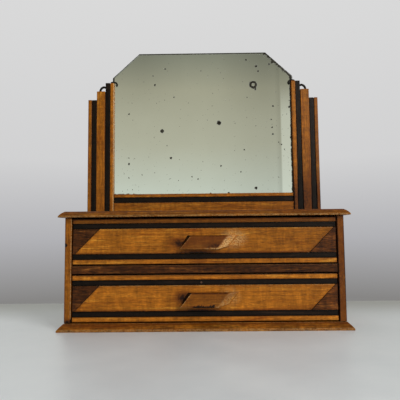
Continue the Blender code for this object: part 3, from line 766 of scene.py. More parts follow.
def boardLevels(look, thickness):
    # (height, inset, rub, darkening) of each ring, from the underside's rim to the level top
    nose, edge, crown = look["nose"], look["edge"], look["crown"]
    levels = [(0.0, 1.4, 0.0, 0.3), (0.0, nose, 0.3, 0.2), (0.3 * nose, 0.3 * nose, 0.6, 0.1)]
    levels += [(nose, 0.0, 0.4, 0.1), (edge, 0.02, 0.35, 0.0)]
    for step in range(1, 11):
        share = step / 10.5
        swell = crown * math.sin(math.pi * share) / 2
        height = min(edge + share * (thickness - edge) + swell, thickness - 0.15)
        dirt = 0.55 * smoothStep(share, 0.45, 1.0)
        levels.append((height, bevelRun * share - swell, 0.3 if step < 2 else 0.0, dirt))
    levels.append((thickness - 0.05, bevelRun - 0.15, 0.6, 0.0))
    levels += [(thickness, bevelRun + 0.15, 0.5, 0.0), (thickness, bevelRun + 1.3, 0.0, 0.15)]
    return levels


def layBoard(node, look):
    low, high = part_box(node)
    halfWide = high.x / mm
    frontY, backY, floorZ = low.y / mm, high.y / mm, low.z / mm
    thickness = (high.z - low.z) / mm
    sideSteps, frontSteps = 30, 90
    points, rubs, dirts, rings = [], [], [], []
    for height, inset, rub, dirt in boardLevels(look, thickness):
        half, front = halfWide - inset, frontY + inset
        back = backY - (1.2 if inset > bevelRun + 1 or (height == 0 and inset > 1) else 0.0)
        outline = [(-half, back - (backY - front) * step / sideSteps) for step in range(sideSteps)]
        outline += [(-half + 2 * half * step / frontSteps, front) for step in range(frontSteps)]
        outline += [(half, front + (back - front) * step / sideSteps) for step in range(sideSteps)]
        outline += [(half - 2 * half * step / frontSteps, back) for step in range(frontSteps)]
        ring = []
        for x, y in outline:
            knock = noise.noise(Vector((x, y, height + floorZ)) * 0.11)
            knock += 0.6 * noise.noise(Vector((x, y, floorZ)) * 0.45)
            bite = look["nicks"] * max(knock - 0.12, 0.0) * (1.0 if rub > 0.2 else 0.25)
            inX = math.copysign(bite, x) if abs(x) > half - 0.01 else 0.0
            inY = bite if y < front + 0.01 else 0.0
            ring.append(len(points))
            points.append(((x - inX) * mm, (y + inY) * mm, (floorZ + height) * mm))
            rubs.append(rub)
            dirts.append(dirt)
        rings.append(ring)
    faces = [list(reversed(rings[0])), rings[-1]]
    count = len(rings[0])
    for lower, upper in zip(rings, rings[1:]):
        for index in range(count):
            following = (index + 1) % count
            faces.append((lower[index], lower[following], upper[following], upper[index]))
    item = meshItem(node + "_wood", points, faces, [finishes["boardX"]])
    tagMesh(item.data, (0.2, 0.1, 0.45 + floorZ * 0.003), look["shade"], rubs, dirts)
    dress(item, "case", "honey_wood", node)


for node, look in boardLook.items():
    layBoard(node, look)
print("boards ready")

# Carved pulls: a leaning face with a steep left end, a long right ramp and an undercut lip
# Tones of face and ramp; a painted highlight on the ramp; a worn and partly painted-highlight lip; painted
# shadow at the left end, painted shade along the top crease and under the lip (the upper face darker to the
# lower right); the face's own patina
pullLook = {
    "upper_drawer": {
        "face": -0.50, "ramp": -0.14, "rampRub": 1.05, "lipRub": 1.2,
        "flankShadow": 1.0, "stain": 0.42, "band": 0.10, "foot": 0.24, "raggedShadow": False, "seed": 3.1,
    },
    "lower_drawer": {
        "face": -0.38, "ramp": -0.24, "rampRub": 0.42, "lipRub": 0.25,
        "flankShadow": 1.5, "stain": 0.16, "band": 0.45, "foot": 1.20, "raggedShadow": True, "seed": 8.7,
    },
}
pullSection = [
    (0.0, 8.65), (2.2, 8.6), (3.6, 8.1), (4.3, 7.0), (9.6, -6.4),
    (10.0, -7.6), (9.5, -8.5), (8.3, -8.6), (5.0, -5.2), (0.0, -3.4),
]
pullSize = {"width": 46.0, "height": 17.3, "lean": 14.0, "leftTop": 4.4, "leftFoot": 1.6, "right": 12.0}


def smoothSection(section, rounds=2):
    for turn in range(rounds):
        cut = [section[0]]
        for (firstX, firstY), (secondX, secondY) in zip(section, section[1:]):
            cut.append((0.75 * firstX + 0.25 * secondX, 0.75 * firstY + 0.25 * secondY))
            cut.append((0.25 * firstX + 0.75 * secondX, 0.25 * firstY + 0.75 * secondY))
        section = cut + [section[-1]]
    return section


def spread(section, count):
    lengths = [0.0]
    for (firstX, firstY), (secondX, secondY) in zip(section, section[1:]):
        lengths.append(lengths[-1] + math.hypot(secondX - firstX, secondY - firstY))
    result, index = [], 0
    for step in range(count + 1):
        want = lengths[-1] * step / count
        while index < len(lengths) - 2 and lengths[index + 1] < want:
            index += 1
        share = (want - lengths[index]) / max(lengths[index + 1] - lengths[index], 1e-9)
        result.append(tuple(a + share * (b - a) for a, b in zip(section[index], section[index + 1])))
    return result


def carvePull(drawer, look):
    low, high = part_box(drawer + "_pull")
    rootY, centreZ = high.y / mm, (low.z + high.z) / 2 / mm
    section = spread(smoothSection(pullSection), 56)
    rootZ = pullSection[-1][1]
    steps = 150
    size = pullSize
    points, rubs, dirts, shades = [], [], [], []
    for step in range(steps + 1):
        along = step / steps
        for depth, height in section:
            level = height / size["height"] + 0.5                      # 0 at the lip, 1 at the top
            left = size["leftFoot"] + (size["leftTop"] - size["leftFoot"]) * level
            x = -size["width"] / 2 - left + along * (size["width"] + left + size["right"])
            fromLeft = (x + size["width"] / 2 + left) / left
            fromRight = (size["width"] / 2 + size["right"] - x) / size["right"]
            share = min(smoothStep(fromLeft, 0.0, 1.0), max(0.0, min(fromRight, 1.0)) ** 0.9)
            share = 0.015 + 0.985 * share
            raised = max(height, rootZ) + share * min(height - rootZ, 0.0)
            seeded = Vector((x, height, look["seed"]))
            chatter = noise.noise(seeded * 0.55) * 0.30 + noise.noise(seeded * 1.7) * 0.16
            onRamp = smoothStep(x, size["width"] / 2 - 3, size["width"] / 2 + 2)
            onLip = smoothStep(-height, 5.8, 7.8) * smoothStep(depth, 6.5, 9.0)
            bite = share * (abs(chatter) * (0.25 + 1.3 * onRamp) + 0.55 * onLip * max(chatter, 0.0))
            jag = onLip * max(noise.noise(Vector((x * 0.8, look["seed"], 0.0))), 0.0) * 0.9
            leant = x + size["lean"] * raised / size["height"]
            y = rootY - max(share * depth - bite, 0.0)
            points.append((leant * mm, y * mm, (centreZ + raised + jag) * mm))
            # Painted shadow: the left end goes nearly black, standing for the shadow the steep end casts
            flankShadow = 1 - smoothStep(fromLeft, 0.86, 1.02)
            # Painted shade, partly dirt: a dark band along the top crease where the face meets the panel
            topCreaseShade = smoothStep(height, 6.2, 7.6) * (1 - onRamp)
            # Painted shade on the underside of the lip
            lipShadow = 1.0 if height < -4.2 and depth < 8.2 else 0.0
            # Darker towards the lower right of the face
            rightFoot = smoothStep(x, -2, 14) * smoothStep(-height, -3.0, 5.0) * (1 - onRamp)
            # Painted shadow: a ragged dark line along the lower pull's lip
            raggedShadow = smoothStep(-height - 1.8 * noise.noise(Vector((x * 0.7, 0.0, look["seed"]))), 5.5, 6.4)
            jaggedShadow = raggedShadow * smoothStep(x, -14, -2) * (1 - smoothStep(x, 15, 21))
            # The lip's lower arris is lighter: wear, and a painted highlight where it catches the light
            lipLine = onLip * (look["lipRub"] * smoothStep(x, 4, 16) + 0.10)
            # Painted highlight on the face's left arris
            litArrisLine = 0.9 * smoothStep(fromLeft, 0.92, 1.04) * (1 - smoothStep(fromLeft, 1.12, 1.35))
            # Painted highlight: cream flecks over the right ramp stand for its glossy glint
            rampFade = smoothStep(fromRight, 0.0, 0.30) * (1 - 0.55 * smoothStep(level, 0.6, 1.0))
            rubs.append(lipLine + look["rampRub"] * onRamp * rampFade + litArrisLine)
            # Darkening: painted shadow and shade at the left end, the top crease and under the lip, with the
            # face's patina
            shadeAndDirt = look["flankShadow"] * flankShadow * smoothStep(level, 0.05, 0.6)
            shadeAndDirt += look["band"] * topCreaseShade + 0.8 * lipShadow
            shadeAndDirt += look["foot"] * (jaggedShadow if look["raggedShadow"] else rightFoot)
            dirts.append(min(1.4, shadeAndDirt + look["stain"] * (1 - onRamp) * (1 - flankShadow) * (1 - onLip)))
            worn = look["face"] + (look["ramp"] - look["face"]) * onRamp
            shades.append(worn * smoothStep(fromRight, 0.0, 0.5))
    count = len(section)
    faces = [list(range(count)), list(reversed(range(steps * count, (steps + 1) * count)))]
    for step in range(steps):
        for index in range(count - 1):
            corner = step * count + index
            faces.append((corner, corner + count, corner + count + 1, corner + 1))
    for step in range(steps):
        foot = step * count
        faces.append((foot + count - 1, foot + 2 * count - 1, foot + count, foot))
    item = meshItem(drawer + "_pull_carved", points, faces, [finishes["honeyX"]], 60)
    tagMesh(item.data, (0.35, 0.0, 0.25 + look["seed"] * 0.03), shades, rubs, dirts)
    dress(item, drawer, "honey_wood", drawer + "_pull")


for drawer, look in pullLook.items():
    carvePull(drawer, look)
print("pulls ready")

# Mirror: silvered face with a ground edge, dark spots where the silver has gone, a painted back
mirrorLook = {
    "silver": (0.86, 0.88, 0.82),
    "bare": (0.012, 0.009, 0.006),
    "olive": (0.016, 0.014, 0.006),
    "veil": (0.55, 0.54, 0.44),
    "haze": (0.004, 0.020),
    "inside": 132.2,
    "ledge": 176.2,
    "specks": [(0.060, 0.62, 0.045, 0.85), (0.125, 0.84, 0.070, 0.75), (0.230, 0.90, 0.110, 0.50)],
    "spots": [
        (-61, 270.5, 2.6), (24, 282, 3.0), (-110.5, 297, 1.1), (-110.5, 221.5, 1.3), (-110.5, 230.5, 0.7),
        (-110.3, 200.6, 0.9), (-48, 229.8, 1.5), (-91, 205, 0.8), (-56, 365.7, 1.2), (-71.5, 341, 1.4),
        (-74.5, 355, 1.0), (-43, 322, 1.1), (66, 378, 1.3), (81, 368, 1.7), (84, 360.6, 1.2),
        (105, 374, 2.0), (100.6, 371, 1.4), (105, 306.6, 1.2), (104, 264, 1.3), (129, 304.8, 1.5),
        (77.3, 183.6, 1.9), (26, 217, 1.2), (130.7, 259, 1.3), (55.6, 208, 0.9), (102, 286, 0.9),
        (103, 274, 0.9), (112, 252, 0.8), (116.5, 248.7, 0.9), (120.5, 241, 0.8), (61, 241, 1.0),
        (-8, 198, 1.0), (-17, 201.5, 0.8), (37, 176.5, 1.4), (10.5, 176.3, 1.1), (66.6, 320, 0.8),
    ],
    "ring": (76, 339.5, 4.2),
}
glassSize = {"half": 135.2, "foot": 173.8, "top": 389.5}
glassClip = {"wide": 40.0, "high": 37.0}


def slantDistance(x, z, pointX, pointZ, normalX, normalZ):
    # How far inside a straight edge a point is, in millimetres
    inX = times(minus(x, pointX), normalX)
    inZ = times(minus(z, pointZ), normalZ)
    return plus(inX, inZ)


def silverFinish(look):
    material, shader, place = newFinish("oldSilvering")
    flat = vecTimes(scaled(place, 1000.0), (1.0, 0.0, 1.0))
    wobble = vecMinus(noiseTexture(flat, 0.55, 4.0, 0.65)["Color"], (0.5, 0.5, 0.5))
    bent = vecCalc("ADD", flat, vecTimes(wobble, (4.4, 0.0, 4.4)))
    nearest = None
    for x, z, radius in look["spots"]:
        share = over(vecCalc("DISTANCE", bent, (x, 0.0, z)), radius)
        nearest = share if nearest is None else calc("MINIMUM", nearest, share)
    gone = remap(nearest, 0.95, 1.35, 1.0, 0.0, smooth=True)
    ringX, ringZ, ringRadius = look["ring"]
    ringAway = vecCalc("DISTANCE", bent, (ringX, 0.0, ringZ))
    ring = calc("ABSOLUTE", minus(ringAway, ringRadius))
    ring = remap(ring, 1.4, 2.3, 1.0, 0.0, smooth=True)
    squashed = vecTimes(bent, (1.0, 0.0, 0.55))
    tail = vecCalc("DISTANCE", squashed, (ringX + 3.2, 0.0, (ringZ - 6.0) * 0.55))
    ring = larger(ring, remap(tail, 1.1, 2.1, 1.0, 0.0, smooth=True))
    gone = larger(gone, ring)
    # Fine specks: a few cells of a scattered pattern hold a small dot
    parts = splitXYZ(bent)
    plane = joinXYZ(parts[0], parts[2])
    crowd = remap(parts[0], 60.0, 115.0, 0.0, 0.16)
    for scale, chance, size, strength in look["specks"]:
        inputs = {"Vector": plane, "Scale": scale, "Randomness": 1.0}
        cells = addNode("ShaderNodeTexVoronoi", inputs, voronoi_dimensions="2D").outputs
        pick = addNode("ShaderNodeSeparateColor", {0: cells["Color"]}).outputs
        chosen = calc("GREATER_THAN", plus(pick[0], crowd), chance)
        dot = calc("LESS_THAN", cells["Distance"], remap(pick[1], 0.0, 1.0, 0.3 * size, size))
        gone = larger(gone, times(times(dot, chosen), strength))
    parts = splitXYZ(flat)
    x, z = parts[0], parts[2]
    fray = remap(grainNoise(flat, 0.22, 5.0, 0.7), 0.35, 0.68)
    run, rise = glassClip["wide"], glassClip["high"]
    slope = math.hypot(run, rise)
    side, top = look["inside"], glassSize["top"]
    clipX, down, out = glassSize["half"] - run, run / slope, rise / slope
    edges = (
        (slantDistance(x, z, 0.0, top, 0.0, -1.0), 1.9, 0.6, look["olive"]),
        (slantDistance(x, z, clipX, top, -out, -down), 1.4, 5.2, look["bare"]),
        (slantDistance(x, z, -clipX, top, out, -down), 0.7, 1.3, look["bare"]),
        # Painted shade and reflection: the right side's dark band stands for the shaded inner face of the
        # right strip beside and in the glass
        (slantDistance(x, z, side, 0.0, -1.0, 0.0), 1.2, 1.6, look["bare"]),
        (slantDistance(x, z, -side, 0.0, 1.0, 0.0), -0.5, 0.5, look["bare"]),
    )
    colour = blendColour(gone, look["silver"], look["bare"])
    worn = gone
    for away, least, more, tint in edges:
        width = calc("MULTIPLY_ADD", fray, more, least)
        mask = remap(minus(width, away), -0.30, 0.30)
        colour = blendColour(mask, colour, tint)
        worn = larger(worn, mask)
    # A ragged smudge where the glass meets the ledge, at the far left
    foot = minus(calc("MULTIPLY_ADD", fray, 2.6, -0.4), minus(z, look["ledge"]))
    foot = times(remap(foot, -0.3, 0.4, 0.0, 0.95), remap(x, -104.0, -96.0, 1.0, 0.12))
    colour = blendColour(foot, colour, look["bare"])
    worn = larger(worn, foot)
    veil = grainNoise(flat, 0.018, 5.0, 0.6)
    setInputs(shader, {
        "Base Color": blendColour(remap(veil, 0.35, 0.75, 0.0, 0.10), colour, look["veil"]),
        "Metallic": minus(1.0, worn),
        "Specular IOR Level": 0.15,
        "Roughness": remap(veil, 0.3, 0.7, *look["haze"]),
    })
    return material


def speckled(name, colours, scale, rough, metallic=0.0, bump=0.2, specular=0.5, sheen=0.0):
    # Painted, metal and felt surfaces with small patches of tone and a matching roughness
    material, shader, place = newFinish(name)
    patches = grainNoise(place, scale, 5.0, 0.6, 0.2)
    fine = grainNoise(place, scale * 6.3, 3.0, 0.6)
    mixed = calc("MULTIPLY_ADD", fine, 0.4, times(patches, 0.6))
    stops = [(0.36 + 0.28 * index / (len(colours) - 1), colour) for index, colour in enumerate(colours)]
    setInputs(shader, {
        "Base Color": colourRamp(mixed, stops),
        "Roughness": remap(fine, 0.3, 0.7, *rough),
        "Metallic": metallic,
        "Specular IOR Level": specular,
        "Sheen Weight": sheen,
        "Normal": bumpNormal(bump, 0.0002, mixed),
    })
    return material


finishes["silver"] = silverFinish(mirrorLook)
speckledLooks = {
    "glassEdge": (
        "groundGlassEdge", [(0.020, 0.022, 0.010), (0.075, 0.080, 0.045)], 400.0, (0.08, 0.3),
    ),
    "backPaint": (
        "mirrorBackPaint", [(0.030, 0.012, 0.008), (0.075, 0.026, 0.016)], 120.0, (0.5, 0.8),
    ),
    "wire": (
        "darkenedWire", [(0.004, 0.003, 0.003), (0.012, 0.010, 0.008), (0.045, 0.030, 0.020)],
        900.0, (0.40, 0.65), 0.35, 0.2, 0.25,
    ),
    "steel": (
        "agedSteel", [(0.16, 0.13, 0.10), (0.36, 0.33, 0.28), (0.50, 0.47, 0.42)], 1400.0, (0.28, 0.5), 0.9,
    ),
    "rust": (
        "rustyPin", [(0.040, 0.020, 0.012), (0.090, 0.046, 0.030), (0.150, 0.085, 0.060)],
        1600.0, (0.6, 0.8), 0.0, 0.3, 0.15,
    ),
    "felt": (
        "dullRedFelt", [(0.045, 0.006, 0.008), (0.105, 0.013, 0.017), (0.165, 0.028, 0.030)],
        900.0, (0.9, 1.0), 0.0, 0.9, 0.15, 0.35,
    ),
}
for key, values in speckledLooks.items():
    finishes[key] = speckled(*values)


def insetOutline(corners, inset):
    # Moves every edge of a counter-clockwise outline inwards by the same distance
    result = []
    for index, (x, z) in enumerate(corners):
        beforeX, beforeZ = corners[index - 1]
        afterX, afterZ = corners[(index + 1) % len(corners)]
        firstX, firstZ = x - beforeX, z - beforeZ
        secondX, secondZ = afterX - x, afterZ - z
        firstLength, secondLength = math.hypot(firstX, firstZ), math.hypot(secondX, secondZ)
        normalA = Vector((-firstZ, firstX)) / firstLength
        normalB = Vector((-secondZ, secondX)) / secondLength
        moved = Vector((x, z)) + (normalA + normalB) * inset / (1 + normalA.dot(normalB))
        result.append((moved.x, moved.y))
    return result


def clippedSheet(name, corners, levels, step, chips, materials, pick=None):
    # levels are (y, inset) rings from front to back; chips(x, z) bites into the edge
    points, rings = [], []
    for y, inset in levels:
        ring = []
        outline = insetOutline(corners, inset)
        for index, (startX, startZ) in enumerate(outline):
            nextX, nextZ = outline[(index + 1) % len(outline)]
            cornerX, cornerZ = corners[index]
            endX, endZ = corners[(index + 1) % len(corners)]
            parts = max(int(math.hypot(endX - cornerX, endZ - cornerZ) / step), 1)
            for part in range(parts):
                share = part / parts
                spot = (startX + share * (nextX - startX), startZ + share * (nextZ - startZ))
                bite = chips(*spot) if inset < 1.0 else 0.0
                middleX, middleZ = -spot[0], 280.0 - spot[1]
                reach = math.hypot(middleX, middleZ)
                ring.append(len(points))
                x, z = spot[0] + bite * middleX / reach, spot[1] + bite * middleZ / reach
                points.append((x * mm, y * mm, z * mm))
        rings.append(ring)
    faces = [rings[0], list(reversed(rings[-1]))]
    for front, back in zip(rings, rings[1:]):
        for index in range(len(front)):
            following = (index + 1) % len(front)
            faces.append((front[index], back[index], back[following], front[following]))
    item = meshItem(name, points, faces, materials, 25)
    for face in item.data.polygons:
        face.material_index = pick(face.center.y / mm) if pick else 0
    return item


def glassOutline(inset):
    half, foot, top = glassSize["half"] - inset, glassSize["foot"], glassSize["top"] - inset
    wide, high = glassClip["wide"], glassClip["high"]
    right = [(half, foot), (half, top - high), (half - wide, top)]
    return [(-half, foot), *right, (wide - half, top), (-half, top - high)]


def glassChips(x, z):
    ragged = max(noise.noise(Vector((x, 0, z)) * 0.35) - 0.1, 0.0)
    slanted = z > 353 and abs(x) > 96
    return ragged * (1.3 if slanted and x > 0 else 0.5 if slanted else 0.15)


def glassSide(y):
    # Silver in front, paint behind, ground glass between them
    return 0 if y < 39.56 else 2 if y > 43.42 else 1


def boardChips(x, z):
    return 0.4 * max(noise.noise(Vector((x, 3, z)) * 0.2), 0.0)


glassLevels = [(39.5, 2.5), (39.5, 0.6), (39.62, 0.25), (39.95, 0.02), (43.1, 0.0), (43.4, 0.25), (43.5, 1.0)]
glass = clippedSheet(
    "mirror_glass_silvered", glassOutline(0.0), glassLevels, 1.6, glassChips,
    [finishes["silver"], finishes["glassEdge"], finishes["backPaint"]], glassSide,
)
dress(glass, "case", "mirror_glass", "mirror_glass")
backingLevels = [(43.8, 1.5), (43.8, 0.2), (44.0, 0.0), (46.6, 0.0), (46.8, 0.3), (46.8, 2.5)]
backing = clippedSheet(
    "mirror_backing_board", glassOutline(1.5), backingLevels, 3.0, boardChips, [finishes["plyZ"]],
)
backingCount = len(backing.data.vertices)
tagMesh(backing.data, (0.6, 0.2, 0.9), -0.1, [0.3] * backingCount, [0.12] * backingCount)
dress(backing, "case", "plywood", "mirror_backing")
print("mirror ready")


# Bent wire: a round or slightly flattened wire along a smooth path
def makeWireTree():
    sockets = {"Geometry": "Path", "Float": "Wide, Thick, Kinks", "Material": "Finish"}
    tree, given = newTree("bentWire", sockets)
    path = addNode("GeometryNodeResampleCurve", {"Curve": given["Path"], "Count": 150}).outputs[0]
    place = addNode("GeometryNodeInputPosition").outputs[0]
    kinks = vecMinus(noiseTexture(place, 260.0, 1.0)["Color"], (0.5, 0.5, 0.5))
    inputs = {"Geometry": path, "Offset": scaled(kinks, given["Kinks"])}
    bent = addNode("GeometryNodeSetPosition", inputs).outputs[0]
    circle = addNode("GeometryNodeCurvePrimitiveCircle", {"Resolution": 14, "Radius": 1.0}).outputs[0]
    inputs = {"Geometry": circle, "Scale": joinXYZ(given["Wide"], given["Thick"], 1.0)}
    profile = addNode("GeometryNodeTransform", inputs).outputs[0]
    closeTree(sweep(bent, profile, addNode("GeometryNodeInputRadius").outputs[0]), given["Finish"])
    return tree


wireTree = makeWireTree()
clipLook = {"Wide": 1.15, "Thick": 1.1, "Kinks": 0.25}


def bendClip(side, sign):
    # From the eye behind the middle strip, over it and the inner strips, to a bead before the glass
    backY, archY, foreY, overZ, eyeX, eyeZ, eyeRadius = 52.4, 52.8, 37.8, 345.4, 151.8, 317.0, 2.6
    route = []
    for turn in range(7):
        angle = math.radians(-20 - 250 * turn / 6)
        x, z = eyeX + eyeRadius * math.cos(angle), eyeZ + eyeRadius * math.sin(angle)
        route.append((x, backY, z, 1.0))
    route += [
        (153.9, backY, 324.8, 1.15), (157.0, archY, 337.6, 1.5), (152.3, archY, 343.0, 1.55),
        (145.4, archY, 341.2, 1.35), (138.3, backY, 344.3, 1.1), (137.6, 48.8, overZ, 1.0),
        (137.4, 45.3, overZ, 1.0), (137.4, 39.5, overZ, 0.95), (135.2, foreY, overZ, 0.9),
        (131.1, foreY, 345.2, 0.85), (128.5, foreY, 343.2, 0.85), (129.1, foreY, 341.0, 0.9),
        (130.2, foreY, 340.3, 1.3),
    ]
    curve = bpy.data.curves.new(side + "ClipPath", "CURVE")
    curve.dimensions = "3D"
    curve.resolution_u = 10
    spline = curve.splines.new("BEZIER")
    spline.bezier_points.add(len(route) - 1)
    for point, (x, y, z, girth) in zip(spline.bezier_points, route):
        point.co = (sign * x * mm, y * mm, z * mm)
        point.handle_left_type = point.handle_right_type = "AUTO"
        point.radius = girth
    values = {key: size * mm for key, size in clipLook.items()}
    values["Finish"] = finishes["wire"]
    item = runTree(side + "_clip_wire", wireTree, values, curve)
    dress(item, "case", "dark_wire", side + "_clip")


for side, sign in (("left", -1), ("right", 1)):
    bendClip(side, sign)
print("clips ready")


# Slotted screws and pins, turned about their axis and set on the points given
def makeScrewTree():
    tree, given = newTree("slottedScrew", {
        "Geometry": "Points",
        "Float": "Head, Head Height, Dome, Shank, Length, Thread, Slot",
        "Vector": "Facing",
        "Material": "Finish",
    })
    top = joinXYZ(z=given["Dome"])
    inputs = {"Length": plus(given["Length"], given["Dome"]), "Direction": (0.0, 0.0, -1.0), "Start": top}
    line = addNode("GeometryNodeCurvePrimitiveLine", inputs, mode="DIRECTION").outputs[0]
    fine = addNode("GeometryNodeResampleCurve", {"Curve": line, "Count": 90}).outputs[0]
    z = splitXYZ(addNode("GeometryNodeInputPosition").outputs[0])[2]
    down = times(z, -1.0)
    share = over(larger(z, 0.0), larger(given["Dome"], 1e-6))
    dome = calc("SQRT", larger(minus(1.02, times(share, share)), 0.02))
    cone = over(larger(down, 0.0), larger(given["Head Height"], 1e-6), clamp=True)
    wave = calc("ABSOLUTE", calc("SINE", times(down, 3600.0)))
    thread = times(times(wave, given["Thread"]), calc("GREATER_THAN", cone, 0.99))
    point = over(minus(given["Length"], down), times(given["Shank"], 2.5), clamp=True)
    shank = times(minus(given["Shank"], thread), larger(point, 0.15))
    radius = addNode("ShaderNodeMix", {0: cone, 2: given["Head"], 3: shank}, data_type="FLOAT").outputs[0]
    circle = addNode("GeometryNodeCurvePrimitiveCircle", {"Resolution": 20, "Radius": 1.0}).outputs[0]
    body = sweep(fine, circle, times(radius, dome))
    slot = joinXYZ(given["Slot"], times(given["Head"], 3.0), times(given["Slot"], 2.4))
    slotted = cutAway(body, boxCutter(slot, top, 0.6))
    turn = addNode("FunctionNodeAlignRotationToVector", {"Vector": given["Facing"]}, axis="Z").outputs[0]
    inputs = {"Points": given["Points"], "Instance": slotted, "Rotation": turn}
    closeTree(addNode("GeometryNodeInstanceOnPoints", inputs).outputs[0], given["Finish"])
    return tree


screwTree = makeScrewTree()
screwLook = {
    "clip_screw": {
        "Head": 2.9, "Head Height": 0.02, "Dome": 1.6, "Shank": 1.0,
        "Length": 13.0, "Thread": 0.22, "Slot": 0.6,
    },
    "post_screw": {
        "Head": 3.2, "Head Height": 1.8, "Dome": 0.0, "Shank": 1.5,
        "Length": 26.0, "Thread": 0.3, "Slot": 0.7,
    },
    "pull_screw": {
        "Head": 2.6, "Head Height": 1.5, "Dome": 0.0, "Shank": 1.2,
        "Length": 13.4, "Thread": 0.25, "Slot": 0.6,
    },
    "strip_pin": {
        "Head": 1.25, "Head Height": 0.02, "Dome": 0.50, "Shank": 0.6,
        "Length": 4.5, "Thread": 0.0, "Slot": 0.02,
    },
    "panel_pin": {
        "Head": 1.1, "Head Height": 0.25, "Dome": 0.25, "Shank": 0.5,
        "Length": 4.0, "Thread": 0.0, "Slot": 0.02,
    },
}


def setScrews(name, kind, places, facing, body, *replaced):
    mesh = bpy.data.meshes.new(name + "Points")
    mesh.from_pydata(places, [], [])
    values = {key: size * mm for key, size in screwLook[kind].items()}
    values.update({"Facing": Vector(facing), "Finish": finishes["rust" if kind == "strip_pin" else "steel"]})
    item = runTree(name, screwTree, values, mesh)
    dress(item, body, "steel", *replaced)


def boxMiddle(node):
    low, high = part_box(node)
    return (low + high) / 2


clipSpots, postSpots = [], []
for side in ("left", "right"):
    middle = boxMiddle(side + "_clip_screw")
    clipSpots.append(Vector((middle.x, 53.8 * mm, middle.z)))
    middle = boxMiddle(side + "_post_screw")
    postSpots.append(Vector((middle.x, middle.y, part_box(side + "_post_screw")[0].z)))
clipScrews, postScrews = ("left_clip_screw", "right_clip_screw"), ("left_post_screw", "right_post_screw")
setScrews("clip_screws_slotted", "clip_screw", clipSpots, (0, 1, 0), "case", *clipScrews)
setScrews("post_screws_slotted", "post_screw", postSpots, (0, 0, -1), "case", *postScrews)
for drawer in ("upper_drawer", "lower_drawer"):
    screw = drawer + "_pull_screw"
    spot = boxMiddle(screw)
    spot.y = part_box(screw)[1].y
    setScrews(screw + "_slotted", "pull_screw", [spot], (0, 1, 0), drawer, screw)
spot = boxMiddle("strip_pin")
spot.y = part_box("strip_pin")[0].y + 0.50 * mm
setScrews("strip_pin_head", "strip_pin", [spot], (0, -1, 0), "lower_drawer", "strip_pin")
backLow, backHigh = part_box("back_panel")
pinLevels = (backLow.z + 6 * mm, backHigh.z - 6 * mm)
pinSpots = [Vector((x * mm, backHigh.y, z)) for x in (-150, -75, 0, 75, 150) for z in pinLevels]
setScrews("back_pins", "panel_pin", pinSpots, (0, 1, 0), "case")
print("screws and pins ready")


# Felt linings: thin cloth laid flat on the drawer bottoms, a little uneven, its edges cut by hand
def layFelt(drawer):
    low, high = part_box(drawer + "_lining")
    wide, deep = (high.x - low.x) / mm - 1.0, (high.y - low.y) / mm - 1.0
    across, along = 106, 34
    points, faces = [], []
    for level in (0, 1):
        for row in range(along + 1):
            for column in range(across + 1):
                x = low.x / mm + 0.5 + wide * column / across
                y = low.y / mm + 0.5 + deep * row / along
                rim = column in (0, across) or row in (0, along)
                fray = 0.35 * noise.noise(Vector((x, y, 5.0)) * 0.5) if rim else 0.0
                x += fray if column in (0, across) else 0.0
                y += fray if row in (0, along) else 0.0
                lift = 0.62 + 0.22 * noise.noise(Vector((x, y, low.z)) * 0.035)
                lift += 0.06 * noise.noise(Vector((x, y, 1.0)) * 0.6)
                z = low.z / mm + (0.02 if level == 0 else (0.45 if rim else lift))
                points.append((x * mm, y * mm, z * mm))
    count = (across + 1) * (along + 1)
    for row in range(along):
        for column in range(across):
            corner = row * (across + 1) + column
            quad = (corner, corner + 1, corner + across + 2, corner + across + 1)
            faces.append(tuple(reversed(quad)))
            faces.append(tuple(index + count for index in quad))
    rim = list(range(across + 1))
    rim += [row * (across + 1) + across for row in range(1, along + 1)]
    rim += [along * (across + 1) + column for column in range(across - 1, -1, -1)]
    rim += [row * (across + 1) for row in range(along - 1, 0, -1)]
    for index, corner in enumerate(rim):
        following = rim[(index + 1) % len(rim)]
        faces.append((corner, following, following + count, corner + count))
    item = meshItem(drawer + "_felt", points, faces, [finishes["felt"]], 50)
    dress(item, drawer, "felt", drawer + "_lining")


for drawer in ("upper_drawer", "lower_drawer"):
    layFelt(drawer)
print("felt linings ready")


# Stage: a pale shelf, soft window light from the right, and pale surroundings that the mirror shows
def addShelf():
    mesh = bpy.data.meshes.new("shelf")
    corners = [(-2.5, -2.5, 0), (2.5, -2.5, 0), (2.5, 0.156, 0), (-2.5, 0.156, 0)]
    mesh.from_pydata(corners, [], [(0, 1, 2, 3)])
    item = addItem("shelf", mesh)
    material, shader, place = newFinish("shelfPaint")
    patches = grainNoise(place, 9.0, 4.0, 0.6)
    colour = blendColour(remap(patches, 0.35, 0.7), (0.70, 0.73, 0.76), (0.78, 0.80, 0.82))
    # Painted shade: the shelf darkens towards its back edge, standing for shade near a wall
    backShade = remap(splitXYZ(place)[1], -0.02, 0.15, 0.0, 0.62, smooth=True)
    setInputs(shader, {
        "Base Color": blendColour(backShade, colour, (0.20, 0.175, 0.14)),
        "Roughness": remap(patches, 0.3, 0.7, 0.32, 0.48),
    })
    mesh.materials.append(material)


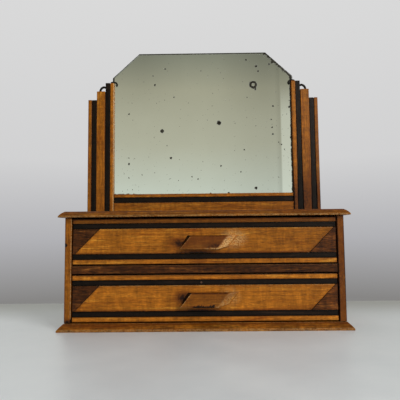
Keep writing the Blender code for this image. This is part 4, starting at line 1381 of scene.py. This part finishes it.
def addSurroundings():
    world = bpy.data.worlds.new("room")
    bpy.context.scene.world = world
    world.use_nodes = True
    startTree(world.node_tree).nodes.clear()
    parts = splitXYZ(addNode("ShaderNodeTexCoord").outputs["Generated"])
    room = colourRamp(remap(parts[2], -1.0, 1.0), [
        (0.0, (0.26, 0.26, 0.26)), (0.48, (0.44, 0.44, 0.42)), (0.545, (0.62, 0.67, 0.61)),
        (0.60, (0.50, 0.50, 0.41)), (0.66, (0.42, 0.41, 0.32)), (0.70, (0.235, 0.245, 0.20)),
        (0.80, (0.50, 0.52, 0.50)), (1.0, (0.85, 0.87, 0.90)),
    ])
    aside = over(parts[0], larger(calc("ABSOLUTE", parts[1]), 0.05))
    doorway = times(remap(aside, 0.1825, 0.1845), remap(aside, 0.26, 0.34, 1.0, 0.0))
    doorway = times(doorway, calc("LESS_THAN", parts[1], 0.0))
    doorway = times(doorway, remap(parts[2], 0.262, 0.325, 1.0, 0.0))
    shadow = times(remap(aside, 0.170, 0.181), remap(aside, 0.1810, 0.1825, 1.0, 0.0))
    corners = remap(calc("ABSOLUTE", aside), 0.04, 0.14)
    corners = times(remap(parts[2], 0.26, 0.38, 0.0, 0.26), corners)
    dusk = plus(corners, remap(aside, 0.0, 0.15, 0.0, 0.17))
    dark, bright = (0.10, 0.10, 0.08), (0.95, 1.0, 0.92)
    room = blendColour(dusk, room, dark)
    room = blendColour(times(doorway, 0.30), room, bright)
    room = blendColour(times(shadow, 0.16), room, dark)
    # The backdrop darkens in a band just below the horizon, where the shelf meets it: painted shade
    wall = colourRamp(remap(parts[2], -0.3, 0.5), [
        (0.0, (0.40, 0.40, 0.40)), (0.20, (0.24, 0.235, 0.23)), (0.36, (0.44, 0.44, 0.46)),
        (0.58, (0.64, 0.64, 0.645)), (1.0, (0.70, 0.70, 0.70)),
    ])
    seen = addNode("ShaderNodeLightPath").outputs["Is Camera Ray"]
    background = addNode("ShaderNodeBackground", {"Color": blendColour(seen, room, wall), "Strength": 1.0})
    addNode("ShaderNodeOutputWorld", {0: background.outputs[0]})


def addLamp(name, place, target, size, power, colour):
    data = bpy.data.lights.new(name, "AREA")
    data.shape = "RECTANGLE"
    data.size, data.size_y = size
    data.energy = power
    data.color = colour
    item = addItem(name, data)
    item.location = place
    item.rotation_euler = (Vector(target) - Vector(place)).to_track_quat("-Z", "Y").to_euler()


addShelf()
addSurroundings()
addLamp("windowLight", (0.95, -1.15, 0.80), (0.0, 0.0, 0.15), (0.7, 0.8), 15.0, (1.0, 0.98, 0.96))
addLamp("backFill", (-0.7, 1.7, 1.1), (0.0, 0.1, 0.2), (1.6, 1.4), 4.0, (0.97, 0.98, 1.0))
bpy.context.scene.view_settings.view_transform = "Standard"
print("stage ready")
